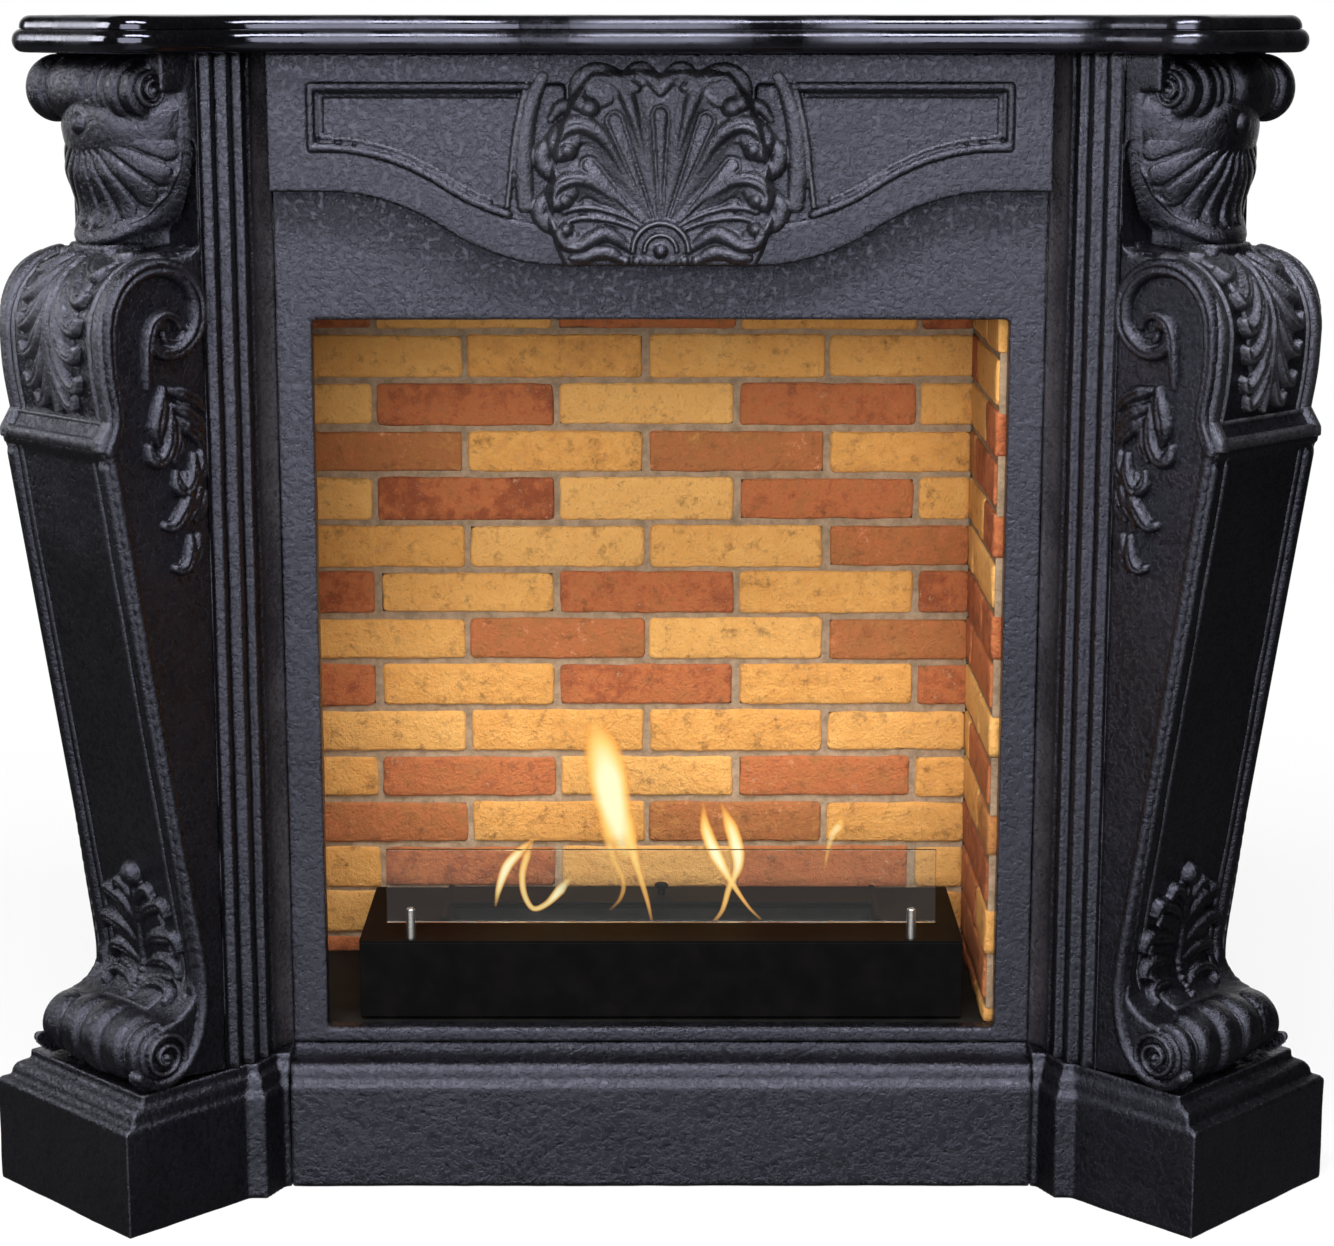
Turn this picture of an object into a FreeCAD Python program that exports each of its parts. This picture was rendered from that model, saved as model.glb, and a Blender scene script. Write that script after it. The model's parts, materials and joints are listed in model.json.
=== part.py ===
import FreeCAD, Part
import math
import os

import Sketcher
from FreeCAD import Placement, Rotation, Vector

doc = FreeCAD.newDocument("bioethanol_fireplace")
sheet = doc.addObject("Spreadsheet::Sheet", "Sizes")

# Driving dimensions in millimetres, the splay and the fan of ribs in degrees.
# X runs to the right, Y to the wall behind, Z up from the floor.
driving = {
    # flat surround and the fireplace opening in it
    "opening_width": 664,
    "opening_height": 706,
    "sill_height": 150,
    "stile_width": 34,
    "surround_thick": 22,
    "surround_reach": 291,
    # base course
    "base_height": 135,
    "base_face": 104,
    "base_proud": 45,
    "ledge_setback": 12,
    "base_return": 30,
    "base_return_run": 20,
    # shelf
    "mantel_height": 1140,
    "shelf_lower": 22,
    "shelf_upper": 12,
    "shelf_step": 7,
    "shelf_overhang": 18,
    "shelf_end": 37,
    "shelf_bow": 30,
    "shelf_bow_width": 300,
    "shelf_bow_round": 150,
    "shelf_flank_round": 130,
    "shelf_inner_round": 70,
    "shelf_tip_round": 38,
    "shelf_end_round": 40,
    # frieze
    "frieze_proud": 30,
    "frieze_side": 128,
    "frieze_middle": 197,
    "frieze_flat": 51,
    "frieze_tongue": 176,
    "frieze_rail": 38,
    "frieze_sunk": 5,
    "cartouche_radius": 96,
    "cartouche_proud": 16,
    "hinge_rise": 32,
    "hinge_radius": 16,
    "rib_length": 140,
    "rib_radius": 12,
    "rib_fan": 150,
    # jambs
    "moulding_run": 56,
    "moulding_rise": 80,
    "cove_sag": 4,
    "reed_sag": 3.5,
    "jamb_wall": 30,
    "return_wall": 25,
    "return_out": 143,
    # splayed consoles
    "splay_angle": 45,
    "console_width": 166,
    "console_inset": 9,
    "roll_radius": 33,
    "roll_reach": 39,
    "roll_inset": 16,
    "roll_over": 10,
    "neck_core": 12,
    "neck_reach": 66,
    "neck_waist": 11,
    "waist_rise": 36,
    "swell_rise": 80,
    "collar_thick": 10,
    "collar_lip": 7,
    "shoulder_drop": 182,
    "shoulder_reach": 39,
    "shoulder_radius": 72,
    "knee_drop": 352,
    "knee_reach": 115,
    "knee_band": 12,
    "shaft_reach": 110,
    "ankle_reach": 29,
    "foot_reach": 72,
    "foot_radius": 32,
    "foot_sink": 3,
    "plinth_reach": 125,
    "plinth_end": 46,
    "plinth_depth": 110,
    # brick-lined firebox
    "liner_over": 31,
    "liner_shift": -24.5,
    "liner_depth": 233,
    "liner_head": 14,
    "floor_drop": 2,
    "sheet_thick": 2,
    "board_thick": 8,
    "brick_thick": 16,
    "brick_length": 180,
    "brick_height": 41,
    "mortar_joint": 9,
    "mortar_recess": 3,
    "first_course": 24,
    "leg_radius": 15,
    "leg_inset": 60,
    "foot_pad_radius": 22,
    "foot_pad_thick": 14,
    "foot_stud_radius": 5,
    "foot_stud_length": 40,
    # burner
    "burner_clear": 59,
    "burner_depth": 188,
    "burner_height": 83,
    "burner_gap": 8,
    "burner_pad": 3,
    "pad_radius": 12,
    "pad_inset": 30,
    "burner_wall": 2,
    "slot_length": 430,
    "slot_width": 50,
    "tank_margin": 8,
    "tank_wall": 1.5,
    "fibre_drop": 16,
    "lid_lap": 4,
    "lid_end_lap": 8,
    "lid_thick": 3,
    "lid_gap": 0.3,
    "rail_wall": 1.5,
    "rail_lap": 4,
    "rail_gap": 0.5,
    "knob_radius": 7,
    "knob_height": 12,
    # glass and its posts
    "glass_end": 27.5,
    "glass_height": 76,
    "glass_thick": 4,
    "glass_gap": 0.3,
    "post_radius": 5,
    "post_height": 31,
    "post_chamfer": 1,
    "post_seat": 16,
    "post_inset": 24,
    "post_setback": 10,
    "stud_radius": 2.5,
    "stud_length": 12,
    "nut_radius": 4.5,
    "nut_height": 4,
    # dowels, wall brackets and bolts
    "dowel_radius": 6,
    "dowel_length": 60,
    "bore_gap": 0.3,
    "bracket_leg": 44,
    "bracket_wall": 4,
    "bracket_height": 100,
    "bracket_drop": 140,
    "bracket_hole_radius": 4.5,
    "bracket_hole_pitch": 60,
    "bolt_radius": 3,
    "bolt_head_radius": 6,
    "bolt_head_height": 4,
    "bolt_length": 16,
}
for row, (alias, value) in enumerate(driving.items(), start=1):
    sheet.set(f"A{row}", alias)
    sheet.set(f"B{row}", str(value))
    sheet.setAlias(f"B{row}", alias)
doc.recompute()


def size(alias):
    return float(sheet.get(alias))


def number(expression):
    value = sheet.evalExpression(expression)
    return float(getattr(value, "Value", value))


# Planes and levels that several pieces share, as expressions on the sheet
half_surround = "(Sizes.opening_width / 2 + Sizes.stile_width)"
tip_drop = ("(Sizes.plinth_reach * cos(Sizes.splay_angle)"
            " + Sizes.console_inset * sin(Sizes.splay_angle))")
wall_plane = f"((Sizes.surround_reach + Sizes.moulding_rise + {tip_drop}) / 2)"
face_plane = f"({wall_plane} - Sizes.surround_reach)"
back_plane = f"({face_plane} + Sizes.surround_thick)"
shelf_under = "(Sizes.mantel_height - Sizes.shelf_lower - Sizes.shelf_upper)"
floor_top = "(Sizes.sill_height - Sizes.floor_drop)"
liner_top = "(Sizes.sill_height + Sizes.opening_height + Sizes.liner_head)"
liner_width = "(Sizes.opening_width + Sizes.liner_over)"
liner_left = f"(Sizes.liner_shift - {liner_width} / 2)"
liner_right = f"(Sizes.liner_shift + {liner_width} / 2)"
liner_back = f"({back_plane} + Sizes.liner_depth)"
skin = "(Sizes.brick_thick + Sizes.board_thick)"
burner_width = "(Sizes.opening_width - Sizes.burner_clear)"
glass_width = f"({burner_width} - 2 * Sizes.glass_end)"
burner_front = f"({back_plane} + Sizes.burner_gap)"
deck_under = f"({floor_top} + Sizes.burner_height - Sizes.burner_wall)"
deck_top = f"({floor_top} + Sizes.burner_height)"
housing_floor = f"({floor_top} + Sizes.burner_pad + Sizes.burner_wall)"
slot_middle = f"({burner_front} + Sizes.burner_depth / 2)"
post_line = f"({burner_front} + Sizes.post_setback)"
post_across = f"({glass_width} / 2 - Sizes.post_inset)"
glass_foot = f"({deck_top} + Sizes.post_seat + Sizes.glass_gap)"
lid_length = "(Sizes.slot_length + 2 * Sizes.lid_end_lap)"
lid_width = "(Sizes.slot_width + 2 * Sizes.lid_lap)"
lid_front = f"({slot_middle} + Sizes.slot_width / 2 + Sizes.lid_lap)"
lid_top = f"({deck_top} + Sizes.lid_gap + Sizes.lid_thick)"

half_x = number(half_surround)
wall_y = number(wall_plane)
face_y = number(face_plane)
back_y = number(back_plane)
base_y = face_y - size("base_proud")
base_z = size("base_height")
under_z = number(shelf_under)
floor_z = number(floor_top)
liner_z = number(liner_top)

# The right console's own frame: x along the splay from its inner side, y back, z up
splay_corner = Vector(half_x + size("moulding_run"), face_y - size("moulding_rise"), 0)
splay_frame = Placement(splay_corner, Rotation(Vector(0, 0, 1), size("splay_angle")))
return_x = splay_corner.x + size("return_out")

pieces = []


def keep(obj, label):
    obj.Label = label
    pieces.append(obj)
    return obj


def splay_point(along, out):
    return splay_frame.multVec(Vector(along, -out, 0))


def raised(points, height):
    return [Vector(p.x, p.y, height) for p in points]


def polygon(points):
    return Part.makePolygon(points + points[:1])


def prism(edges_or_wire, direction):
    wire = edges_or_wire if isinstance(edges_or_wire, Part.Wire) else Part.Wire(edges_or_wire)
    return Part.Face(wire).extrude(direction)


def lines(points):
    return [Part.makeLine(a, b) for a, b in zip(points, points[1:])]


def bulge(start, end, sag):
    middle = (start + end) * 0.5
    across = Vector(end.y - start.y, start.x - end.x, 0).normalize()
    return Part.Arc(start, middle + across * sag, end).toShape()


def arc(start, through, end):
    return Part.Arc(start, through, end).toShape()


def shape_piece(label, shape, placement=None):
    obj = doc.addObject("Part::Feature", label)
    obj.Shape = shape
    if placement:
        obj.Placement = placement
    return keep(obj, label)


def mirrored_piece(label, source):
    obj = doc.addObject("Part::Mirroring", label)
    obj.Source = source
    obj.Normal = Vector(1, 0, 0)
    return keep(obj, label)


def box(label, corner, extents):
    obj = doc.addObject("Part::Box", label)
    for axis, expression in zip("xyz", corner):
        obj.setExpression(f"Placement.Base.{axis}", expression)
    for side, expression in zip(("Length", "Width", "Height"), extents):
        obj.setExpression(side, expression)
    obj.Label = label
    return obj


def hollowed(label, outer, inner):
    obj = doc.addObject("Part::Cut", label)
    obj.Base = outer
    obj.Tool = inner
    return keep(obj, label)


def body(label, **placement):
    obj = doc.addObject("PartDesign::Body", label)
    for axis, expression in placement.items():
        obj.setExpression(f"Placement.Base.{axis}", expression)
    return keep(obj, label)


def sketch(owner, role, name, lift=None):
    obj = owner.newObject("Sketcher::SketchObject", name)
    plane = next(f for f in owner.Origin.OriginFeatures if f.Role == role)
    obj.AttachmentSupport = [(plane, "")]
    obj.MapMode = "FlatFace"
    if lift:
        obj.setExpression("AttachmentOffset.Base.z", lift)
    return obj


def lock(obj, geometry, point, expressions):
    for kind, expression in zip(("DistanceX", "DistanceY"), expressions):
        index = obj.addConstraint(Sketcher.Constraint(kind, geometry, point, number(expression)))
        obj.setExpression(f"Constraints[{index}]", expression)


def add_loop(obj, corners):
    spots = [Vector(number(x), number(y), 0) for x, y in corners]
    first = obj.GeometryCount
    count = len(spots)
    for i in range(count):
        obj.addGeometry(Part.LineSegment(spots[i], spots[(i + 1) % count]), False)
    for i in range(count):
        after = first + (i + 1) % count
        obj.addConstraint(Sketcher.Constraint("Coincident", first + i, 2, after, 1))
        lock(obj, first + i, 1, corners[i])


def add_rectangle(obj, left, bottom, right, top):
    add_loop(obj, [(left, bottom), (right, bottom), (right, top), (left, top)])


def add_circle(obj, centre, radius):
    spot = Vector(number(centre[0]), number(centre[1]), 0)
    index = obj.addGeometry(Part.Circle(spot, Vector(0, 0, 1), number(radius)), False)
    lock(obj, index, 3, centre)
    datum = obj.addConstraint(Sketcher.Constraint("Radius", index, number(radius)))
    obj.setExpression(f"Constraints[{datum}]", radius)


def pad(owner, profile, length, backwards=False, midplane=False):
    obj = owner.newObject("PartDesign::Pad", f"{profile.Name}_pad")
    obj.Profile = profile
    obj.setExpression("Length", length)
    obj.Reversed = backwards
    obj.Midplane = midplane
    return obj


def pocket(owner, profile, length, midplane=False):
    obj = owner.newObject("PartDesign::Pocket", f"{profile.Name}_pocket")
    obj.Profile = profile
    obj.setExpression("Length", length)
    obj.Midplane = midplane
    return obj


def turned(owner, profile):
    obj = owner.newObject("PartDesign::Revolution", f"{profile.Name}_turned")
    obj.Profile = profile
    obj.ReferenceAxis = (profile, ["V_Axis"])
    obj.Angle = 360
    return obj


def rounded_outline(points, radii):
    # an open line through the points, each inner corner turned into a tangent arc
    edges = []
    last = points[0]
    for before, corner, after, radius in zip(points, points[1:], points[2:], radii):
        to_before = before - corner
        to_after = after - corner
        half_turn = (math.pi - to_before.getAngle(to_after)) / 2
        longest = 0.45 * min(to_before.Length, to_after.Length)
        reach = min(radius * math.tan(half_turn), longest)
        start = corner + to_before.normalize() * reach
        end = corner + to_after.normalize() * reach
        inner = (to_before + to_after).normalize()
        true_radius = reach / math.tan(half_turn)
        depth = true_radius / math.cos(half_turn) - true_radius
        edges.append(Part.makeLine(last, start))
        edges.append(arc(start, corner + inner * depth, end))
        last = end
    edges.append(Part.makeLine(last, points[-1]))
    return edges


def inset_outline(points, shares, setback):
    # shifts each side of a closed outline inwards by its share of the setback
    count = len(points)
    moved = []
    for i in range(count):
        before = points[i] - points[i - 1]
        after = points[(i + 1) % count] - points[i]
        shift_before = setback * shares[i - 1]
        shift_after = setback * shares[i]
        in_before = Vector(-before.y, before.x, 0).normalize()
        in_after = Vector(-after.y, after.x, 0).normalize()
        turn = in_before.x * in_after.y - in_before.y * in_after.x
        reach_before = in_before.dot(points[i]) + shift_before
        reach_after = in_after.dot(points[i]) + shift_after
        x = (reach_before * in_after.y - reach_after * in_before.y) / turn
        y = (reach_after * in_before.x - reach_before * in_after.x) / turn
        moved.append(Vector(x, y, 0))
    return moved


def base_moulding():
    # setback and height of the base course's moulded edge, from the floor up
    face = size("base_face")
    rise = base_z - face
    back = size("ledge_setback")
    return [(0, 0), (0, face), (0.12 * back, face + 0.09 * rise), (0.40 * back, face + 0.15 * rise),
            (0.45 * back, face + 0.42 * rise), (0.60 * back, face + 0.58 * rise),
            (0.88 * back, face + 0.68 * rise), (back, face + 0.70 * rise), (back, base_z)]


def dowel_spots():
    # plan point and joint level of each dowel on the right side
    stone = splay_corner + Vector(0, size("moulding_rise") * 0.8, 0)
    console = splay_point(size("console_width") / 2, size("neck_core"))
    return [(stone, under_z), (stone, base_z), (console, base_z)]


def dowels(radius, slack):
    length = size("dowel_length") + 2 * slack
    return [Part.makeCylinder(radius, length, Vector(spot.x, spot.y, level - length / 2))
            for spot, level in dowel_spots()]


def without_dowel_bores(shape):
    bores = dowels(size("dowel_radius") + size("bore_gap"), size("bore_gap"))
    mirrored = [bore.mirror(Vector(0, 0, 0), Vector(1, 0, 0)) for bore in bores]
    return shape.cut(bores + mirrored)


# Surround panel
surround = body("surround_panel", y=face_plane)
surround_face = sketch(surround, "XZ_Plane", "surround_face")
add_rectangle(surround_face, f"-{half_surround}", "Sizes.base_height", half_surround, shelf_under)
add_rectangle(surround_face, "-Sizes.opening_width / 2", "Sizes.sill_height",
              "Sizes.opening_width / 2", "Sizes.sill_height + Sizes.opening_height")
pad(surround, surround_face, "Sizes.surround_thick", backwards=True)


# Hearth base: the moulded edge runs straight between the plinths, with a cove to the surround
def hearth_base():
    edge = [Vector(-half_x, base_y + setback, height) for setback, height in base_moulding()[:-1]]
    cove_end = Vector(-half_x, face_y, base_z)
    cove_low = Vector(-half_x, edge[-1].y + 0.65 * (face_y - edge[-1].y),
                      edge[-1].z + 0.22 * (base_z - edge[-1].z))
    back_top = Vector(-half_x, back_y, base_z)
    back_low = Vector(-half_x, back_y, 0)
    edges = lines(edge)
    edges.append(arc(edge[-1], cove_low, cove_end))
    edges += lines([cove_end, back_top, back_low, edge[0]])
    return prism(edges, Vector(2 * half_x, 0, 0))


shape_piece("hearth_base", hearth_base())


# Plinth blocks: splayed with the consoles, moulded on the sides that show
def plinth():
    reach = size("plinth_reach")
    inset = size("console_inset")
    proud = size("base_return")
    tip = splay_point(-inset, reach)
    outer = splay_point(size("console_width") + size("plinth_end"), reach)
    outer_back = splay_point(size("console_width") + size("plinth_end"), reach - size("plinth_depth"))
    inner_line = splay_point(-inset, 0)
    slope = tip - inner_line
    front = inner_line + slope * ((base_y - proud - inner_line.y) / slope.y)
    shelf_in = return_x - 1.8 * size("return_wall")
    step_y = back_y + 0.8 * size("return_wall")
    corner_x = half_x + size("base_return_run")
    outline = [Vector(half_x, base_y, 0), Vector(half_x + 0.2 * proud, base_y, 0),
               Vector(corner_x, front.y, 0), front, tip, outer, outer_back,
               Vector(outer_back.x, wall_y, 0), Vector(shelf_in, wall_y, 0),
               Vector(shelf_in, outer_back.y, 0), Vector(splay_corner.x, step_y, 0),
               Vector(half_x, step_y, 0)]
    # the moulding is broad under the console's face, narrow beside the jamb, none where hidden
    shares = [1, 1, 1, 0.6, 2, 2, 1, 0, 0, 0, 0, 0]
    levels = [polygon(raised(inset_outline(outline, shares, setback), height))
              for setback, height in base_moulding()]
    return without_dowel_bores(Part.makeLoft(levels, True, True))


right_plinth = shape_piece("right_plinth", plinth())
mirrored_piece("left_plinth", right_plinth)


# Jambs: cove and three reeds beside the surround, the splayed face, the return to the wall
def jamb():
    run = size("moulding_run")
    rise = size("moulding_rise")
    corner = Vector(half_x, face_y, base_z)

    def spot(across, forward):
        return corner + Vector(across * run, -forward * rise, 0)

    last = spot(0.27, 0.38)
    edges = [bulge(spot(0, 0), last, -size("cove_sag"))]
    reeds = [(spot(0.34, 0.39), spot(0.52, 0.58)), (spot(0.57, 0.565), spot(0.75, 0.775)),
             (spot(0.80, 0.76), spot(0.95, 0.93))]
    for start, end in reeds:
        edges.append(Part.makeLine(last, start))
        edges.append(bulge(start, end, size("reed_sag")))
        last = end
    edges.append(Part.makeLine(last, spot(1, 1)))
    splay_end = splay_point(size("return_out") / math.cos(math.radians(size("splay_angle"))), 0)
    inner = [splay_point(0, -size("jamb_wall")), splay_point(1, -size("jamb_wall"))]
    slope = (inner[1].y - inner[0].y) / (inner[1].x - inner[0].x)
    inner_x = return_x - size("return_wall")
    outline = [spot(1, 1), Vector(return_x, splay_end.y, base_z), Vector(return_x, wall_y, base_z),
               Vector(inner_x, wall_y, base_z),
               Vector(inner_x, inner[0].y + (inner_x - inner[0].x) * slope, base_z),
               Vector(inner[0].x + (back_y - inner[0].y) / slope, back_y, base_z),
               Vector(half_x, back_y, base_z), corner]
    solid = prism(edges + lines(outline), Vector(0, 0, under_z - base_z))
    return without_dowel_bores(solid).cut(bracket_bolts(size("bolt_radius") + size("bore_gap")))


def bracket_levels():
    middle = under_z - size("bracket_drop") - size("bracket_height") / 2
    half = size("bracket_hole_pitch") / 2
    return middle - half, middle + half


def bracket_bolts(radius, head=False):
    # bolts through the bracket's side leg into the return of the right jamb
    seat_x = return_x - size("return_wall") - size("bracket_wall")
    middle_y = wall_y - size("bracket_leg") / 2
    length = size("bolt_length") + size("bracket_wall")
    bolts = []
    for level in bracket_levels():
        seat = Vector(seat_x, middle_y, level)
        bolt = Part.makeCylinder(radius, length, seat, Vector(1, 0, 0))
        if head:
            height = size("bolt_head_height")
            under = seat - Vector(height, 0, 0)
            cap = Part.makeCylinder(size("bolt_head_radius"), height, under, Vector(1, 0, 0))
            bolt = bolt.fuse(cap).removeSplitter()
        bolts.append(bolt)
    return bolts


right_jamb = shape_piece("right_jamb", jamb())
mirrored_piece("left_jamb", right_jamb)


# Consoles: top roll, shell neck on its collar, volute, tapering shaft and lobed foot
def lobed_roll(length, radius, lobes):
    pitch = length / lobes
    valley = 0.86 * radius
    spots = [Vector(i * pitch, 0, valley) for i in range(lobes + 1)]
    edges = [Part.makeLine(Vector(0, 0, 0), spots[0])]
    for a, b in zip(spots, spots[1:]):
        edges.append(arc(a, Vector((a.x + b.x) / 2, 0, radius), b))
    edges += lines([spots[-1], Vector(length, 0, 0), Vector(0, 0, 0)])
    return Part.Face(Part.Wire(edges)).revolve(Vector(0, 0, 0), Vector(1, 0, 0), 360)


def bow(half_width, reach, level):
    # a bowed section of the neck, flat at the back
    middle = size("console_width") / 2
    left = Vector(middle - half_width, 0, level)
    right = Vector(middle + half_width, 0, level)
    return Part.Wire([arc(left, Vector(middle, -reach, level), right), Part.makeLine(right, left)])


def vase_neck(bottom, top):
    # drawn in above the collar, then swelling to the full bow below the roll
    half_width = size("console_width") / 2 - size("collar_lip")
    reach = size("neck_reach")
    drawn = size("neck_waist")
    levels = [(bottom, 0), (bottom + size("waist_rise"), drawn), (bottom + size("swell_rise"), 0), (top, 0)]
    return Part.makeLoft([bow(half_width - inset, reach - inset, level) for level, inset in levels], True)


def console():
    width = size("console_width")
    roll_z = under_z - size("roll_radius")
    shoulder_z = under_z - size("shoulder_drop")
    belly = size("shoulder_reach") + size("shoulder_radius")
    belly_z = shoulder_z - size("shoulder_radius")
    knee_z = under_z - size("knee_drop")
    half_band = size("knee_band") / 2
    waist = size("knee_reach") - size("knee_band")
    waist_z = knee_z + 2 * size("knee_band")
    shaft_z = knee_z - size("knee_band")
    sweep = size("foot_reach") - size("ankle_reach")
    foot_top = base_z + 2 * size("foot_radius") - size("foot_sink")
    ankle_z = foot_top + sweep
    quarter = math.sqrt(0.5)

    def spot(out, height):
        return Vector(0, -out, height)

    shoulder_centre = spot(size("shoulder_reach"), belly_z)
    shoulder_mid = shoulder_centre + spot(quarter, quarter) * size("shoulder_radius")
    sweep_mid = spot(size("foot_reach") - quarter * sweep, ankle_z - quarter * sweep)
    edges = lines([spot(0, base_z), spot(size("foot_reach"), base_z), spot(size("foot_reach"), foot_top)])
    edges.append(arc(spot(size("foot_reach"), foot_top), sweep_mid, spot(size("ankle_reach"), ankle_z)))
    edges += lines([spot(size("ankle_reach"), ankle_z), spot(size("shaft_reach"), shaft_z),
                    spot(size("knee_reach"), knee_z - half_band),
                    spot(size("knee_reach"), knee_z + half_band), spot(waist, waist_z)])
    edges.append(arc(spot(waist, waist_z), spot(0.25 * waist + 0.75 * belly, (waist_z + belly_z) / 2),
                     spot(belly, belly_z)))
    edges.append(arc(spot(belly, belly_z), shoulder_mid, spot(size("shoulder_reach"), shoulder_z)))
    edges += lines([spot(size("shoulder_reach"), shoulder_z), spot(size("neck_core"), shoulder_z),
                    spot(size("neck_core"), roll_z), spot(size("roll_reach"), roll_z),
                    spot(size("roll_reach"), under_z), spot(0, under_z), spot(0, base_z)])
    shaft = prism(edges, Vector(width, 0, 0))
    inset = size("roll_inset")
    top_roll = lobed_roll(width - inset + size("roll_over"), size("roll_radius"), lobes=4)
    top_roll.translate(spot(size("roll_reach"), roll_z) + Vector(inset, 0, 0))
    foot_roll = lobed_roll(width, size("foot_radius"), lobes=4)
    foot_roll.translate(spot(size("foot_reach"), base_z + size("foot_radius")))
    neck = vase_neck(shoulder_z, roll_z)
    collar_bow = bow(width / 2, size("neck_reach") + size("collar_lip"), shoulder_z)
    collar = prism(collar_bow, Vector(0, 0, size("collar_thick")))
    solid = shaft.multiFuse([top_roll, foot_roll, neck, collar]).removeSplitter()
    bores = dowels(size("dowel_radius") + size("bore_gap"), size("bore_gap"))
    for bore in bores:
        bore.Placement = splay_frame.inverse().multiply(bore.Placement)
    return solid.cut(bores)


right_console = shape_piece("right_console", console(), splay_frame)
mirrored_piece("left_console", right_console)

pins = dowels(size("dowel_radius"), 0)
pins += [pin.mirror(Vector(0, 0, 0), Vector(1, 0, 0)) for pin in pins]
shape_piece("locating_dowels", Part.makeCompound(pins))


# Frieze: serpentine lower edge, two sunk panels and a ribbed shell
def serpentine(shoulder, tongue, side_z, middle_z):
    # the S from the side level down to the middle tongue: two equal tangent arcs
    run = shoulder - tongue
    drop = side_z - middle_z
    radius = (run ** 2 + drop ** 2) / (4 * drop)
    turn = 2 * math.atan(drop / run)

    def upper(share):
        angle = share * turn
        return Vector(shoulder - radius * math.sin(angle), 0, side_z - radius + radius * math.cos(angle))

    def lower(share):
        angle = share * turn
        return Vector(tongue + radius * math.sin(angle), 0, middle_z + radius - radius * math.cos(angle))

    return [upper(0), upper(0.5), upper(1), lower(0.5), lower(0)]


def reflected(points):
    return [Vector(-p.x, p.y, p.z) for p in reversed(points)]


def frieze():
    side_z = under_z - size("frieze_side")
    middle_z = under_z - size("frieze_middle")
    shoulder = half_x - size("frieze_flat")
    tongue = size("frieze_tongue") / 2
    curve = serpentine(shoulder, tongue, side_z, middle_z)
    other = reflected(curve)
    edges = lines([Vector(-half_x, 0, side_z), Vector(-half_x, 0, under_z), Vector(half_x, 0, under_z),
                   Vector(half_x, 0, side_z), curve[0]])
    edges += [arc(*curve[0:3]), arc(*curve[2:5]), Part.makeLine(curve[4], other[0])]
    edges += [arc(*other[0:3]), arc(*other[2:5]), Part.makeLine(other[4], Vector(-half_x, 0, side_z))]
    slab = prism(edges, Vector(0, -size("frieze_proud"), 0))

    rail = size("frieze_rail")
    sunk = serpentine(shoulder, tongue, side_z + rail, middle_z + rail)
    top = under_z - 0.75 * rail
    outer = half_x - rail
    edges = [arc(*sunk[0:3]), arc(*sunk[2:5])]
    edges += lines([sunk[4], Vector(tongue, 0, top), Vector(outer, 0, top),
                    Vector(outer, 0, sunk[0].z), sunk[0]])
    panel = prism(edges, Vector(0, -size("frieze_sunk"), 0))
    panel.translate(Vector(0, size("frieze_sunk") - size("frieze_proud"), 0))
    slab = slab.cut([panel, panel.mirror(Vector(0, 0, 0), Vector(1, 0, 0))])

    for form in cartouche(middle_z):
        slab = slab.fuse(form)
    slab = slab.removeSplitter()
    slab.translate(Vector(0, face_y, 0))
    return slab


def teardrop(start, length, small, large):
    # a round rib that swells along its axis and ends in a half ball
    quarter = math.sqrt(0.5)
    foot = Vector(0, 0, start)
    neck = Vector(small, 0, start)
    brow = Vector(large, 0, length)
    tip = Vector(0, 0, length + large)
    edges = lines([tip, foot, neck, brow])
    edges.append(arc(brow, Vector(quarter * large, 0, length + quarter * large), tip))
    return Part.Face(Part.Wire(edges)).revolve(Vector(0, 0, 0), Vector(0, 0, 1), 360)


def dome(radius, proud, thick):
    # a shallow lens, bowed towards the front, on a disc that sinks into the slab
    ball = (radius ** 2 + proud ** 2) / (2 * proud)
    half = math.asin(radius / ball) / 2
    through = Vector(ball * math.sin(half), ball - proud - ball * math.cos(half), 0)
    crown = Vector(0, -proud, 0)
    rim = Vector(radius, 0, 0)
    edges = [arc(crown, through, rim)]
    edges += lines([rim, Vector(radius, thick, 0), Vector(0, thick, 0), crown])
    return Part.Face(Part.Wire(edges)).revolve(Vector(0, 0, 0), Vector(0, 1, 0), 360)


def cartouche(bottom):
    # the dome, the ribs that fan up and lean forward from the hinge, and the hinge itself
    proud = size("cartouche_proud")
    face = -size("frieze_proud")
    height = under_z - bottom
    disc = dome(size("cartouche_radius"), proud, size("frieze_proud") / 2)
    disc.translate(Vector(0, face, bottom + height / 2))
    hinge = Vector(0, face - 0.5 * proud, bottom + size("hinge_rise"))
    forms = [disc]
    ribs = 9
    lean = Rotation(Vector(1, 0, 0), math.degrees(math.asin(0.8 * proud / size("rib_length"))))
    for i in range(ribs):
        angle = size("rib_fan") * (i / (ribs - 1) - 0.5)
        reach = size("rib_length") * (1 - 0.22 * abs(math.sin(math.radians(angle))))
        start = 1.2 * size("hinge_radius")
        rib = teardrop(start, reach - size("rib_radius"), 0.4 * size("rib_radius"), size("rib_radius"))
        rib.Placement = Placement(hinge, Rotation(Vector(0, 1, 0), angle).multiply(lean))
        forms.append(rib)
    forms.append(Part.makeSphere(1.3 * size("hinge_radius"), hinge))
    return forms


shape_piece("frieze", frieze())


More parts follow.
